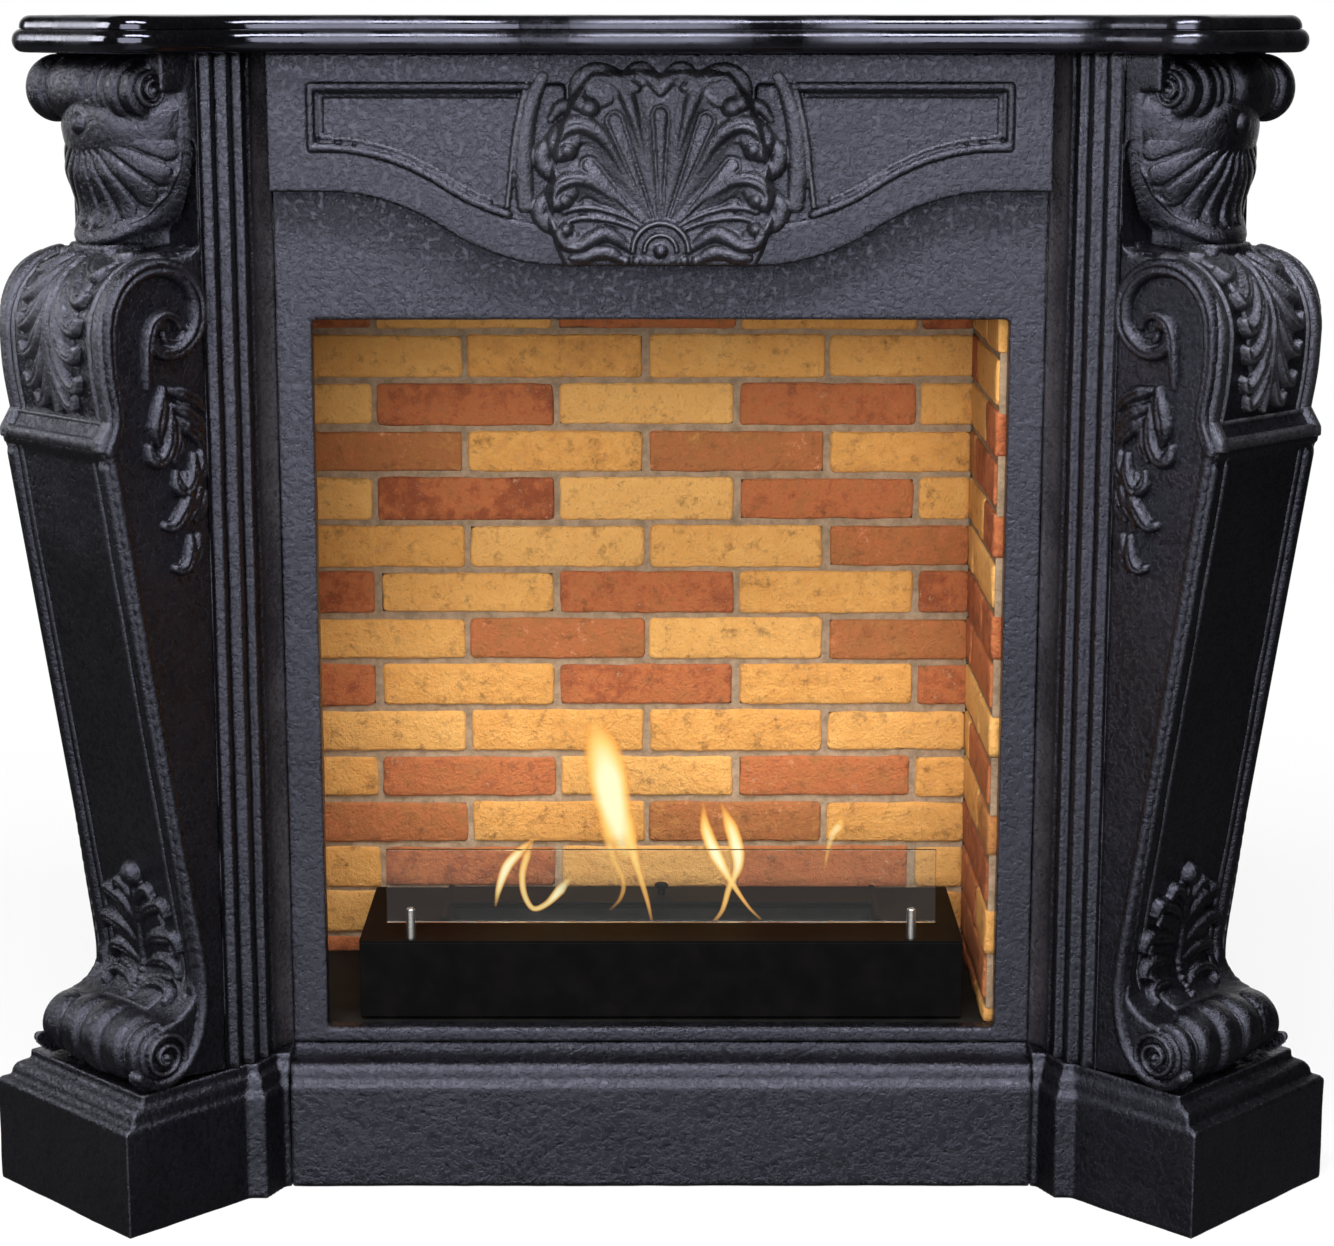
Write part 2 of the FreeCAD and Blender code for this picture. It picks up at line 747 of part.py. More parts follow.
# Shelf: a bullnosed lower tier and a smaller upper one, both following the plan below
def shelf_outline(inset, level):
    overhang = size("shelf_overhang")
    front = splay_point(inset - overhang, size("roll_reach") + size("roll_radius") + overhang - inset)
    line_y = face_y - size("frieze_proud") - 2 * overhang + inset
    end_x = return_x + size("shelf_end") - inset
    angle = math.radians(size("splay_angle"))
    end_y = front.y + (end_x - front.x) * math.tan(angle)
    inner_x = front.x - (line_y - front.y) * math.tan(angle)
    bow = size("shelf_bow")
    bow_x = size("shelf_bow_width") / 2
    right = [Vector(0.4 * bow_x, line_y - bow, 0), Vector(bow_x, line_y, 0), Vector(inner_x, line_y, 0),
             front, Vector(end_x, end_y, 0), Vector(end_x, wall_y, 0)]
    radii = [size("shelf_bow_round") - inset, size("shelf_flank_round") + inset,
             size("shelf_inner_round") + inset, size("shelf_tip_round") - inset,
             size("shelf_end_round") - inset]
    points = raised(reflected(right) + right, level)
    edges = rounded_outline(points, radii[::-1] + radii)
    return edges + [Part.makeLine(points[-1], points[0])]


def rounded_tier(inset, level, thick, radius, levels):
    tier = prism(shelf_outline(inset, level), Vector(0, 0, thick))
    rims = [edge for edge in tier.Edges
            if any(abs(edge.BoundBox.ZMin - z) + abs(edge.BoundBox.ZMax - z) < 0.01 for z in levels)
            and edge.BoundBox.YMin < wall_y - 0.01]
    return tier.makeFillet(radius, rims)


def shelf():
    lower = size("shelf_lower")
    upper = size("shelf_upper")
    seam = under_z + lower
    slab = rounded_tier(0, under_z, lower, 0.48 * lower, [under_z, seam])
    top = rounded_tier(size("shelf_step"), seam, upper, 0.9 * upper, [seam + upper])
    return without_dowel_bores(slab.fuse(top))


shape_piece("mantel_shelf", shelf())

# Firebox sheets round the brick liner
sheet_left = f"({liner_left} - {skin} - Sizes.sheet_thick)"
sheet_right = f"({liner_right} + {skin} + Sizes.sheet_thick)"
sheet_back = f"({liner_back} + {skin} + Sizes.sheet_thick)"
sheet_width = f"({sheet_right} - {sheet_left})"
sheet_depth = f"({sheet_back} - {back_plane})"
wall_height = f"({liner_top} - {floor_top})"
side_depth = f"({sheet_depth} - Sizes.sheet_thick)"
keep(box("firebox_floor", (sheet_left, back_plane, f"{floor_top} - Sizes.sheet_thick"),
         (sheet_width, sheet_depth, "Sizes.sheet_thick")), "firebox_floor")
keep(box("firebox_top", (sheet_left, back_plane, liner_top),
         (sheet_width, sheet_depth, "Sizes.sheet_thick")), "firebox_top")
keep(box("firebox_back", (sheet_left, f"{sheet_back} - Sizes.sheet_thick", floor_top),
         (sheet_width, "Sizes.sheet_thick", wall_height)), "firebox_back")
keep(box("firebox_left", (sheet_left, back_plane, floor_top),
         ("Sizes.sheet_thick", side_depth, wall_height)), "firebox_left")
keep(box("firebox_right", (f"{sheet_right} - Sizes.sheet_thick", back_plane, floor_top),
         ("Sizes.sheet_thick", side_depth, wall_height)), "firebox_right")

# Boards that carry the brick slips
board_back = f"({liner_back} + Sizes.brick_thick)"
side_board_depth = f"({board_back} - {back_plane})"
keep(box("back_board", (f"{liner_left} - {skin}", board_back, floor_top),
         (f"{liner_width} + 2 * {skin}", "Sizes.board_thick", wall_height)), "back_board")
keep(box("left_board", (f"{liner_left} - {skin}", back_plane, floor_top),
         ("Sizes.board_thick", side_board_depth, wall_height)), "left_board")
keep(box("right_board", (f"{liner_right} + Sizes.brick_thick", back_plane, floor_top),
         ("Sizes.board_thick", side_board_depth, wall_height)), "right_board")


# Brick slips in stretcher bond and the mortar between them
def courses():
    # bottom and top of every course, and whether its joints are shifted half a brick
    joint = size("mortar_joint")
    low = floor_z
    high = floor_z + size("first_course") - joint
    shifted = True
    while low < liner_z - joint:
        yield low, min(high, liner_z), shifted
        low = high + joint
        high = low + size("brick_height")
        shifted = not shifted


def laid(start, end, bond):
    # start and end of each slip in one course whose joints fall on the bond point
    joint = size("mortar_joint")
    pitch = size("brick_length") + joint
    first = math.floor((start - bond) / pitch)
    last = math.ceil((end - bond) / pitch)
    for i in range(first, last):
        left = max(start, bond + i * pitch + joint / 2)
        right = min(end, bond + (i + 1) * pitch - joint / 2)
        if right - left > joint:
            yield left, right


def wall_slips(start, end, bond):
    half = (size("brick_length") + size("mortar_joint")) / 2
    for low, high, shifted in courses():
        for left, right in laid(start, end, bond + half * shifted):
            yield left, right, low, high


def lined_wall(name, spans, slip, mortar):
    bricks = [slip(*span) for span in spans]
    shape_piece(f"{name}_bricks", Part.makeCompound(bricks))
    shape_piece(f"{name}_mortar", mortar.cut(bricks))


left_x = number(liner_left)
right_x = number(liner_right)
deep_y = number(liner_back)
brick = size("brick_thick")
bed = brick - size("mortar_recess")
room = liner_z - floor_z
back_bond = size("liner_shift") + size("mortar_joint")


def back_slip(left, right, low, high):
    return Part.makeBox(right - left, brick, high - low, Vector(left, deep_y, low))


def left_slip(front, back, low, high):
    return Part.makeBox(brick, back - front, high - low, Vector(left_x - brick, front, low))


def right_slip(front, back, low, high):
    return Part.makeBox(brick, back - front, high - low, Vector(right_x, front, low))


back_bed = Part.makeBox(right_x - left_x, bed, room, Vector(left_x, deep_y + brick - bed, floor_z))
left_bed = Part.makeBox(bed, deep_y + brick - back_y, room, Vector(left_x - brick, back_y, floor_z))
right_bed = Part.makeBox(bed, deep_y + brick - back_y, room, Vector(right_x + brick - bed, back_y, floor_z))
lined_wall("back", wall_slips(left_x, right_x, back_bond), back_slip, back_bed)
lined_wall("left", wall_slips(back_y, deep_y + brick, back_y), left_slip, left_bed)
lined_wall("right", wall_slips(back_y, deep_y + brick, back_y), right_slip, right_bed)

# Legs under the firebox floor, each on a levelling foot whose stud runs up into it
leg_places = {
    "left_front": (f"{sheet_left} + Sizes.leg_inset", f"{back_plane} + Sizes.leg_inset"),
    "right_front": (f"{sheet_right} - Sizes.leg_inset", f"{back_plane} + Sizes.leg_inset"),
    "left_back": (f"{sheet_left} + Sizes.leg_inset", f"{sheet_back} - Sizes.leg_inset"),
    "right_back": (f"{sheet_right} - Sizes.leg_inset", f"{sheet_back} - Sizes.leg_inset"),
}
leg_length = f"({floor_top} - Sizes.sheet_thick - Sizes.foot_pad_thick)"
stud_bore = "(Sizes.foot_stud_radius + Sizes.bore_gap)"
stud_room = "(Sizes.foot_stud_length + Sizes.bore_gap)"
for place, (leg_x, leg_y) in leg_places.items():
    leg = body(f"{place}_leg", x=leg_x, y=leg_y, z="Sizes.foot_pad_thick")
    leg_half = sketch(leg, "XZ_Plane", f"{place}_leg_half")
    add_loop(leg_half, [(stud_bore, "0"), ("Sizes.leg_radius", "0"), ("Sizes.leg_radius", leg_length),
                        ("0", leg_length), ("0", stud_room), (stud_bore, stud_room)])
    turned(leg, leg_half)
    foot = body(f"{place}_foot", x=leg_x, y=leg_y)
    foot_half = sketch(foot, "XZ_Plane", f"{place}_foot_half")
    stud_top = "(Sizes.foot_pad_thick + Sizes.foot_stud_length)"
    add_loop(foot_half, [("0", "0"), ("Sizes.foot_pad_radius", "0"),
                         ("Sizes.foot_pad_radius", "Sizes.foot_pad_thick / 2"),
                         ("Sizes.leg_radius", "Sizes.foot_pad_thick"),
                         ("Sizes.foot_stud_radius", "Sizes.foot_pad_thick"),
                         ("Sizes.foot_stud_radius", stud_top), ("0", stud_top)])
    turned(foot, foot_half)

# Burner housing, an open-topped folded box on rubber pads
housing_height = f"({deck_under} - {floor_top} - Sizes.burner_pad)"
housing_outer = box("housing_outer", (f"-{burner_width} / 2", burner_front,
                                      f"{floor_top} + Sizes.burner_pad"),
                    (burner_width, "Sizes.burner_depth", housing_height))
housing_inner = box("housing_inner", (f"Sizes.burner_wall - {burner_width} / 2",
                                      f"{burner_front} + Sizes.burner_wall", housing_floor),
                    (f"{burner_width} - 2 * Sizes.burner_wall",
                     "Sizes.burner_depth - 2 * Sizes.burner_wall", housing_height))
hollowed("burner_housing", housing_outer, housing_inner)


def corner_pads():
    across = number(burner_width) / 2 - size("pad_inset")
    front = number(burner_front) + size("pad_inset")
    back = number(burner_front) + size("burner_depth") - size("pad_inset")
    spots = [Vector(x, y, floor_z) for x in (-across, across) for y in (front, back)]
    return [Part.makeCylinder(size("pad_radius"), size("burner_pad"), spot) for spot in spots]


shape_piece("burner_pads", Part.makeCompound(corner_pads()))

# Deck with the flame slot and the two post holes
deck = body("burner_deck", y=slot_middle, z=deck_under)
deck_plan = sketch(deck, "XY_Plane", "deck_plan")
add_rectangle(deck_plan, f"-{burner_width} / 2", "-Sizes.burner_depth / 2",
              f"{burner_width} / 2", "Sizes.burner_depth / 2")
add_rectangle(deck_plan, "-Sizes.slot_length / 2", "-Sizes.slot_width / 2",
              "Sizes.slot_length / 2", "Sizes.slot_width / 2")
post_back = "(Sizes.post_setback - Sizes.burner_depth / 2)"
for side in (f"-{post_across}", post_across):
    add_circle(deck_plan, (side, post_back), "(Sizes.stud_radius + Sizes.bore_gap)")
pad(deck, deck_plan, "Sizes.burner_wall")

# Fuel tank from the housing floor up to the deck, with its fibre block
tank_length = "(Sizes.slot_length + 2 * Sizes.tank_margin)"
tank_width = "(Sizes.slot_width + 2 * Sizes.tank_margin)"
tank_height = f"({deck_under} - {housing_floor})"
tank_inner_length = f"({tank_length} - 2 * Sizes.tank_wall)"
tank_inner_width = f"({tank_width} - 2 * Sizes.tank_wall)"
tank_outer = box("tank_outer", (f"-{tank_length} / 2", f"{slot_middle} - {tank_width} / 2", housing_floor),
                 (tank_length, tank_width, tank_height))
tank_inner = box("tank_inner", (f"-{tank_inner_length} / 2", f"{slot_middle} - {tank_inner_width} / 2",
                                f"{housing_floor} + Sizes.tank_wall"),
                 (tank_inner_length, tank_inner_width, tank_height))
hollowed("fuel_tank", tank_outer, tank_inner)
keep(box("fibre_block", (f"-{tank_inner_length} / 2", f"{slot_middle} - {tank_inner_width} / 2",
                         f"{housing_floor} + Sizes.tank_wall"),
         (tank_inner_length, tank_inner_width, f"{tank_height} - Sizes.fibre_drop")), "fibre_block")

# Snuffer lid behind the slot, its knob and the two rails that guide it over the slot
lid = body("snuffer_lid", y=lid_front, z=f"{deck_top} + Sizes.lid_gap")
lid_plan = sketch(lid, "XY_Plane", "lid_plan")
add_rectangle(lid_plan, f"-{lid_length} / 2", "0", f"{lid_length} / 2", lid_width)
pad(lid, lid_plan, "Sizes.lid_thick")

knob = body("lid_knob", y=f"{lid_front} + {lid_width} / 2", z=lid_top)
knob_half = sketch(knob, "XZ_Plane", "knob_half")
add_loop(knob_half, [("0", "0"), ("0.6 * Sizes.knob_radius", "0"),
                     ("0.6 * Sizes.knob_radius", "Sizes.knob_height / 2"),
                     ("Sizes.knob_radius", "0.7 * Sizes.knob_height"),
                     ("Sizes.knob_radius", "0.9 * Sizes.knob_height"),
                     ("0.8 * Sizes.knob_radius", "Sizes.knob_height"), ("0", "Sizes.knob_height")])
turned(knob, knob_half)

rail_in = f"({lid_length} / 2 + Sizes.rail_gap)"
rail_out = f"({rail_in} + Sizes.rail_wall)"
rail_lip = f"({rail_in} - Sizes.rail_lap)"
lip_under = "(2 * Sizes.lid_gap + Sizes.lid_thick)"
lip_top = f"({lip_under} + Sizes.rail_wall)"
rail_length = f"({lid_front} + {lid_width} - {slot_middle} + Sizes.slot_width / 2 + Sizes.lid_lap)"
right_rail = body("right_lid_rail", y=f"{slot_middle} - Sizes.slot_width / 2 - Sizes.lid_lap", z=deck_top)
rail_end = sketch(right_rail, "XZ_Plane", "rail_end")
add_loop(rail_end, [(rail_in, "0"), (rail_out, "0"), (rail_out, lip_top), (rail_lip, lip_top),
                    (rail_lip, lip_under), (rail_in, lip_under)])
pad(right_rail, rail_end, rail_length, backwards=True)
mirrored_piece("left_lid_rail", right_rail)

# Slotted posts with studs through the deck, their nuts, and the glass that stands in them
right_post = body("right_glass_post", x=post_across, y=post_line, z=deck_top)
post_half = sketch(right_post, "XZ_Plane", "post_half")
add_loop(post_half, [("0", "-Sizes.stud_length"), ("Sizes.stud_radius", "-Sizes.stud_length"),
                     ("Sizes.stud_radius", "0"), ("Sizes.post_radius", "0"),
                     ("Sizes.post_radius", "Sizes.post_height - Sizes.post_chamfer"),
                     ("Sizes.post_radius - Sizes.post_chamfer", "Sizes.post_height"),
                     ("0", "Sizes.post_height")])
turned(right_post, post_half)
post_slot = sketch(right_post, "YZ_Plane", "post_slot")
slot_half = "(Sizes.glass_thick / 2 + Sizes.glass_gap)"
add_rectangle(post_slot, f"-{slot_half}", "Sizes.post_seat", slot_half, "1.1 * Sizes.post_height")
pocket(right_post, post_slot, "4 * Sizes.post_radius", midplane=True)
mirrored_piece("left_glass_post", right_post)


def post_nuts():
    nuts = []
    for across in (-number(post_across), number(post_across)):
        seat = Vector(across, number(post_line), number(deck_under) - size("nut_height"))
        flats = [seat + Vector(size("nut_radius") * math.cos(i * math.pi / 3),
                               size("nut_radius") * math.sin(i * math.pi / 3), 0) for i in range(6)]
        nut = prism(polygon(flats), Vector(0, 0, size("nut_height")))
        bore = Part.makeCylinder(size("stud_radius") + size("bore_gap"), size("nut_height"), seat)
        nuts.append(nut.cut(bore))
    return nuts


shape_piece("post_nuts", Part.makeCompound(post_nuts()))
keep(box("glass_pane", (f"-{glass_width} / 2", f"{post_line} - Sizes.glass_thick / 2", glass_foot),
         (glass_width, "Sizes.glass_thick", "Sizes.glass_height")), "glass_pane")

# Wall brackets inside the jamb returns, with the bolts that hold them
bracket_x = f"({half_surround} + Sizes.moulding_run + Sizes.return_out - Sizes.return_wall)"
bracket_low = f"({shelf_under} - Sizes.bracket_drop - Sizes.bracket_height)"
right_bracket = body("right_wall_bracket", x=bracket_x, y=wall_plane, z=bracket_low)
bracket_plan = sketch(right_bracket, "XY_Plane", "bracket_plan")
add_loop(bracket_plan, [("0", "0"), ("0", "-Sizes.bracket_leg"),
                        ("-Sizes.bracket_wall", "-Sizes.bracket_leg"),
                        ("-Sizes.bracket_wall", "-Sizes.bracket_wall"),
                        ("-Sizes.bracket_leg", "-Sizes.bracket_wall"), ("-Sizes.bracket_leg", "0")])
pad(right_bracket, bracket_plan, "Sizes.bracket_height")
hole_levels = ["(Sizes.bracket_height - Sizes.bracket_hole_pitch) / 2",
               "(Sizes.bracket_height + Sizes.bracket_hole_pitch) / 2"]
wall_holes = sketch(right_bracket, "XZ_Plane", "wall_holes")
side_holes = sketch(right_bracket, "YZ_Plane", "side_holes")
for level in hole_levels:
    add_circle(wall_holes, ("-Sizes.bracket_leg / 2", level), "Sizes.bracket_hole_radius")
    add_circle(side_holes, ("-Sizes.bracket_leg / 2", level), "(Sizes.bolt_radius + Sizes.bore_gap)")
pocket(right_bracket, wall_holes, "3 * Sizes.bracket_wall", midplane=True)
pocket(right_bracket, side_holes, "3 * Sizes.bracket_wall", midplane=True)
mirrored_piece("left_wall_bracket", right_bracket)

bolts = bracket_bolts(size("bolt_radius"), head=True)
bolts += [bolt.mirror(Vector(0, 0, 0), Vector(1, 0, 0)) for bolt in bolts]
shape_piece("bracket_bolts", Part.makeCompound(bolts))

doc.recompute()
failed = [obj.Name for obj in doc.Objects if {"Invalid", "Error"} & set(obj.State)]
failed += [obj.Label for obj in pieces if obj.Shape.isNull() or not obj.Shape.isValid()]
if failed:
    raise RuntimeError(f"objects that did not build: {failed}")

os.makedirs("parts", exist_ok=True)
for obj in pieces:
    obj.Shape.exportStep(f"parts/{obj.Label}.step")
    print(obj.Label, len(obj.Shape.Solids), round(obj.Shape.Volume / 1000), "cm3")
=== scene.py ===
import json
import math
import random

import bmesh
import bpy
import numpy as np
from mathutils import Matrix, Vector, noise


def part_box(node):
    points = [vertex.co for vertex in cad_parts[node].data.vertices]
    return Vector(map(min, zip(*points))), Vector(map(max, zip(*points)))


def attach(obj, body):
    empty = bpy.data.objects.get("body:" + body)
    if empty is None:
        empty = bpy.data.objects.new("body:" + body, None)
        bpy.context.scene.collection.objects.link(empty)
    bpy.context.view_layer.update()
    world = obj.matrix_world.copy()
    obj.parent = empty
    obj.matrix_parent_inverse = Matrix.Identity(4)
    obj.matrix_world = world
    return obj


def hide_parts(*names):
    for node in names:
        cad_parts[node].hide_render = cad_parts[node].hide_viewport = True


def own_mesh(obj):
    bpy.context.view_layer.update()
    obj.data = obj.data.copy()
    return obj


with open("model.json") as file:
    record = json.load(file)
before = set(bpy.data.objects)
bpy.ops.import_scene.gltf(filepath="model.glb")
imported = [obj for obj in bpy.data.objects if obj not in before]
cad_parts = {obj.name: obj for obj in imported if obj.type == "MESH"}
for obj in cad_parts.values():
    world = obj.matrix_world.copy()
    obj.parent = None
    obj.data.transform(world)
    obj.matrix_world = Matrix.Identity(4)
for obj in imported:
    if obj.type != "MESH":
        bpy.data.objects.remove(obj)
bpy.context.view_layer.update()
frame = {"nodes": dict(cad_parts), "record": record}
nodes = frame["nodes"]
mm = 0.001
print("frame loaded:", len(nodes), "nodes")


class Tone:  # a shader socket that can stand in a sum
    def __init__(self, tree, socket=None):
        self.tree = tree
        self.socket = socket

    def node(self, kind, settings=None, inputs=None, out=0):
        made = self.tree.nodes.new("ShaderNode" + kind)
        for key, value in (settings or {}).items():
            if key == "stops":
                stops = made.color_ramp.elements
                for stop, (place, colour) in zip(stops, (value[0], value[-1])):
                    stop.position = place
                    stop.color = (*colour, 1)
                for place, colour in value[1:-1]:
                    stops.new(place).color = (*colour, 1)
            else:
                setattr(made, key, value)
        for key, value in (inputs or {}).items():
            if isinstance(value, Tone):
                self.tree.links.new(value.socket, made.inputs[key])
            else:
                made.inputs[key].default_value = value
        return Tone(self.tree, made.outputs[out])

    def sum(self, operation, first, second):
        return self.node("Math", {"operation": operation}, {0: first, 1: second})

    def __add__(self, other):
        return self.sum("ADD", self, other)

    def __radd__(self, other):
        return self.sum("ADD", other, self)

    def __sub__(self, other):
        return self.sum("SUBTRACT", self, other)

    def __rsub__(self, other):
        return self.sum("SUBTRACT", other, self)

    def __mul__(self, other):
        return self.sum("MULTIPLY", self, other)

    def __rmul__(self, other):
        return self.sum("MULTIPLY", other, self)

    def step(self, low, high):  # 0 below low, 1 above high, smooth between
        return self.node("MapRange", {"interpolation_type": "SMOOTHSTEP"},
                         {"Value": self, "From Min": low, "From Max": high})

    def between(self, first, second):  # this value mixes two colours
        pair = [c if isinstance(c, Tone) else (*c, 1) for c in (first, second)]
        return self.node("Mix", {"data_type": "RGBA"}, {0: self, 6: pair[0], 7: pair[1]}, 2)

    def noise(self, point, scale, detail=3, rough=0.55):
        return self.node("TexNoise", None, {"Vector": point, "Scale": scale, "Detail": detail,
                                            "Roughness": rough})

    def bump(self, strength, distance, height):
        return self.node("Bump", None, {"Strength": strength, "Distance": distance, "Height": height})

    def attribute(self, name):
        return self.node("Attribute", {"attribute_name": name}, out="Fac")


def emptyTree(owner):
    owner.use_nodes = True
    owner.node_tree.nodes.clear()
    return owner.node_tree


def newFinish(name, fixed):
    made = bpy.data.materials.new(name)
    tree = emptyTree(made)
    surface = tree.nodes.new("ShaderNodeBsdfPrincipled")
    output = tree.nodes.new("ShaderNodeOutputMaterial")
    tree.links.new(surface.outputs[0], output.inputs[0])
    for key, value in fixed.items():
        surface.inputs[key].default_value = value

    def put(key, tone):
        tree.links.new(tone.socket, surface.inputs[key])

    return made, Tone(tree), put


stoneLooks = {  # darkest colour, also the painted shade in hollows; body colour; edge colour, partly wear and partly painted highlight; then how it shines and how it is cut
    "carved_stone": {
        "dark": (0.0006, 0.0005, 0.0007), "light": (0.0020, 0.0018, 0.0025), "worn": (0.045, 0.044, 0.052),
        "rough": 0.27, "sheen": 0.66, "bump": 0.46, "wear": 0.9, "patchy": 0.0, "coarse": 1.0},
    # a lighter copy of carved_stone for the shell and leaves: painted light on slopes and hollows that get
    # little of the lamps
    "painted_light_stone": {
        "dark": (0.0040, 0.0039, 0.0046), "light": (0.023, 0.0225, 0.0260), "worn": (0.090, 0.089, 0.100),
        "rough": 0.29, "sheen": 0.74, "bump": 0.46, "wear": 0.9, "patchy": 0.0, "coarse": 1.0},
    "honed_stone": {
        "dark": (0.0014, 0.0013, 0.0017), "light": (0.0080, 0.0080, 0.0098), "worn": (0.040, 0.040, 0.048),
        "rough": 0.29, "sheen": 0.70, "bump": 0.62, "wear": 0.8, "patchy": 0.0, "coarse": 1.0},
    "polished_stone": {
        "dark": (0.0012, 0.0012, 0.0015), "light": (0.0040, 0.0040, 0.0050), "worn": (0.02, 0.02, 0.024),
        "rough": 0.09, "sheen": 0.64, "bump": 0.55, "wear": 0.2, "patchy": 0.24, "coarse": 0.05},
}
# colour of the painted light in the jamb cove
coveLightColour = (0.039, 0.035, 0.039)
stoneTint = (0.76, 0.77, 1.0, 1)


def stoneFinish(name):
    look = stoneLooks[name]
    made, start, put = newFinish(name, {"Specular IOR Level": look["sheen"], "Specular Tint": stoneTint})
    point = start.node("TexCoord", out="Object")
    cloud = start.noise(point, 9, 6, 0.62)
    streak = start.noise(start.node("Mapping", None, {"Vector": point, "Scale": (3, 3, 0.6)}), 14, 4)
    pits = start.noise(point, 170, 5, 0.7)
    grain = start.noise(point, 430, 3, 0.6)
    # Pointiness: ridges take the edge colour, partly wear and partly painted highlight; hollows take painted
    # shade
    worn = start.node("NewGeometry", out="Pointiness")
    edge = (worn + (pits - 0.5) * 0.06).step(0.525, 0.61) * look["wear"]
    hollowShade = worn.step(0.485, 0.40)
    patch = (cloud * 0.6 + streak * 0.2 + pits * 0.2 + (grain - 0.5) * 0.6).step(0.36, 0.66)
    # painted light: the jamb cove is painted paler in speckles and keeps no painted hollow shade
    dusted = start.attribute("dusted") * (0.25 + patch * 0.75)
    body = dusted.between(patch.between(look["dark"], look["light"]), coveLightColour)
    # hollows are darkened as painted shade; edges are lightened, partly wear and partly painted highlight
    put("Base Color", (hollowShade * (1 - dusted)).between(edge.between(body, look["worn"]), look["dark"]))
    dull = cloud.step(0.40, 0.60) * look["patchy"]
    put("Roughness", look["rough"] * (0.50 + pits.step(0.34, 0.66) * 0.7 + cloud * 0.4 + hollowShade * 0.5) + dull)
    height = (pits.step(0.30, 0.62) * 0.5 + grain * 0.30) * look["coarse"] + cloud * 0.5
    put("Normal", start.bump(look["bump"], 0.0024, height))
    return made


brickLook = {"ochre": (0.77, 0.36, 0.091), "pale": (0.87, 0.47, 0.143), "tan": (0.42, 0.158, 0.052),
             "red": (0.53, 0.160, 0.056), "deep": (0.31, 0.078, 0.030), "bloom": (0.80, 0.50, 0.26),
             "darkTone": (0.17, 0.072, 0.028), "rough": 0.86}


def brickFinish():
    made, start, put = newFinish("brick", {"Specular IOR Level": 0.25})
    point = start.node("TexCoord", out="Object")
    fired = start.attribute("fired")
    cloud = start.noise(point, 22, 5, 0.65)
    speck = start.noise(point, 260, 4, 0.7)
    flaw = start.noise(point, 55, 7, 0.75)
    mottle = start.noise(point, 70, 6, 0.72)
    heat = fired + ((cloud - 0.5) * 0.7 + (mottle - 0.5) * 0.9) * (0.28 + fired * 0.95)
    tint = start.node("ValToRGB", {"stops": [
        (0.0, brickLook["pale"]), (0.22, brickLook["ochre"]), (0.52, brickLook["tan"]),
        (0.80, brickLook["red"]), (1.0, brickLook["deep"])]}, {0: heat})
    bloom = start.noise(point, 140, 5, 0.7).step(0.54, 0.70) * cloud.step(0.50, 0.62) * 0.45
    # darker towards the bottom of the chamber
    lowerDarkening = start.node("SeparateXYZ", None, {0: point}, "Z").step(0.44, 0.24) * 0.22
    darkening = flaw.step(0.51, 0.72) * 0.65 + speck.step(0.57, 0.74) * 0.45 + lowerDarkening
    put("Base Color", darkening.between(bloom.between(tint, brickLook["bloom"]), brickLook["darkTone"]))
    put("Roughness", brickLook["rough"] - cloud * 0.1)
    height = speck * 0.5 + flaw * 1.1 + cloud * 0.6
    put("Normal", start.bump(1.0, 0.0065, height))
    return made


roughLooks = {  # plain mineral finishes: two colours, noise scale, bump height, roughness
    "mortar": {"dark": (0.19, 0.127, 0.076), "light": (0.35, 0.243, 0.154),
               "scale": 70, "deep": 0.0035, "rough": 0.95},
    "liner_board": {"dark": (0.50, 0.44, 0.34), "light": (0.62, 0.56, 0.45),
                    "scale": 40, "deep": 0.0008, "rough": 0.9},
    "ceramic_fibre": {"dark": (0.006, 0.005, 0.005), "light": (0.026, 0.024, 0.022),
                      "scale": 160, "deep": 0.003, "rough": 1.0},
    "black_rubber": {"dark": (0.012, 0.012, 0.012), "light": (0.028, 0.028, 0.028),
                     "scale": 200, "deep": 0.0004, "rough": 0.8},
}


def roughFinish(name):
    look = roughLooks[name]
    made, start, put = newFinish(name, {"Specular IOR Level": 0.3})
    point = start.node("TexCoord", out="Object")
    coarse = start.noise(point, look["scale"], 6, 0.7)
    fine = start.noise(point, look["scale"] * 6, 3)
    put("Base Color", coarse.step(0.3, 0.7).between(look["dark"], look["light"]))
    put("Roughness", look["rough"] - fine * 0.08)
    put("Normal", start.bump(0.6, look["deep"], coarse + fine * 0.5))
    return made


metalLooks = {  # colour, worn colour, roughness, how metallic, streak direction scale, shine of the paint
    "black_sheet": {"colour": (0.005, 0.005, 0.005), "worn": (0.010, 0.010, 0.009),
                    "rough": 0.62, "metal": 0.0, "drawn": (1, 1, 1), "shine": 0.12},
    "black_burner": {"colour": (0.0014, 0.0012, 0.0012), "worn": (0.0030, 0.0026, 0.0025),
                     "rough": 0.50, "metal": 0.0, "drawn": (1, 1, 1), "shine": 0.04},
    "stainless": {"colour": (0.60, 0.58, 0.55), "worn": (0.46, 0.45, 0.43),
                  "rough": 0.30, "metal": 1.0, "drawn": (1, 1, 14), "shine": 0.5},
    "near_black_steel": {"colour": (0.010, 0.009, 0.009), "worn": (0.026, 0.023, 0.020),
                     "rough": 0.65, "metal": 0.0, "drawn": (1, 1, 1), "shine": 0.15},
    "plated_steel": {"colour": (0.50, 0.50, 0.49), "worn": (0.36, 0.36, 0.34),
                     "rough": 0.42, "metal": 1.0, "drawn": (1, 1, 1), "shine": 0.5},
}


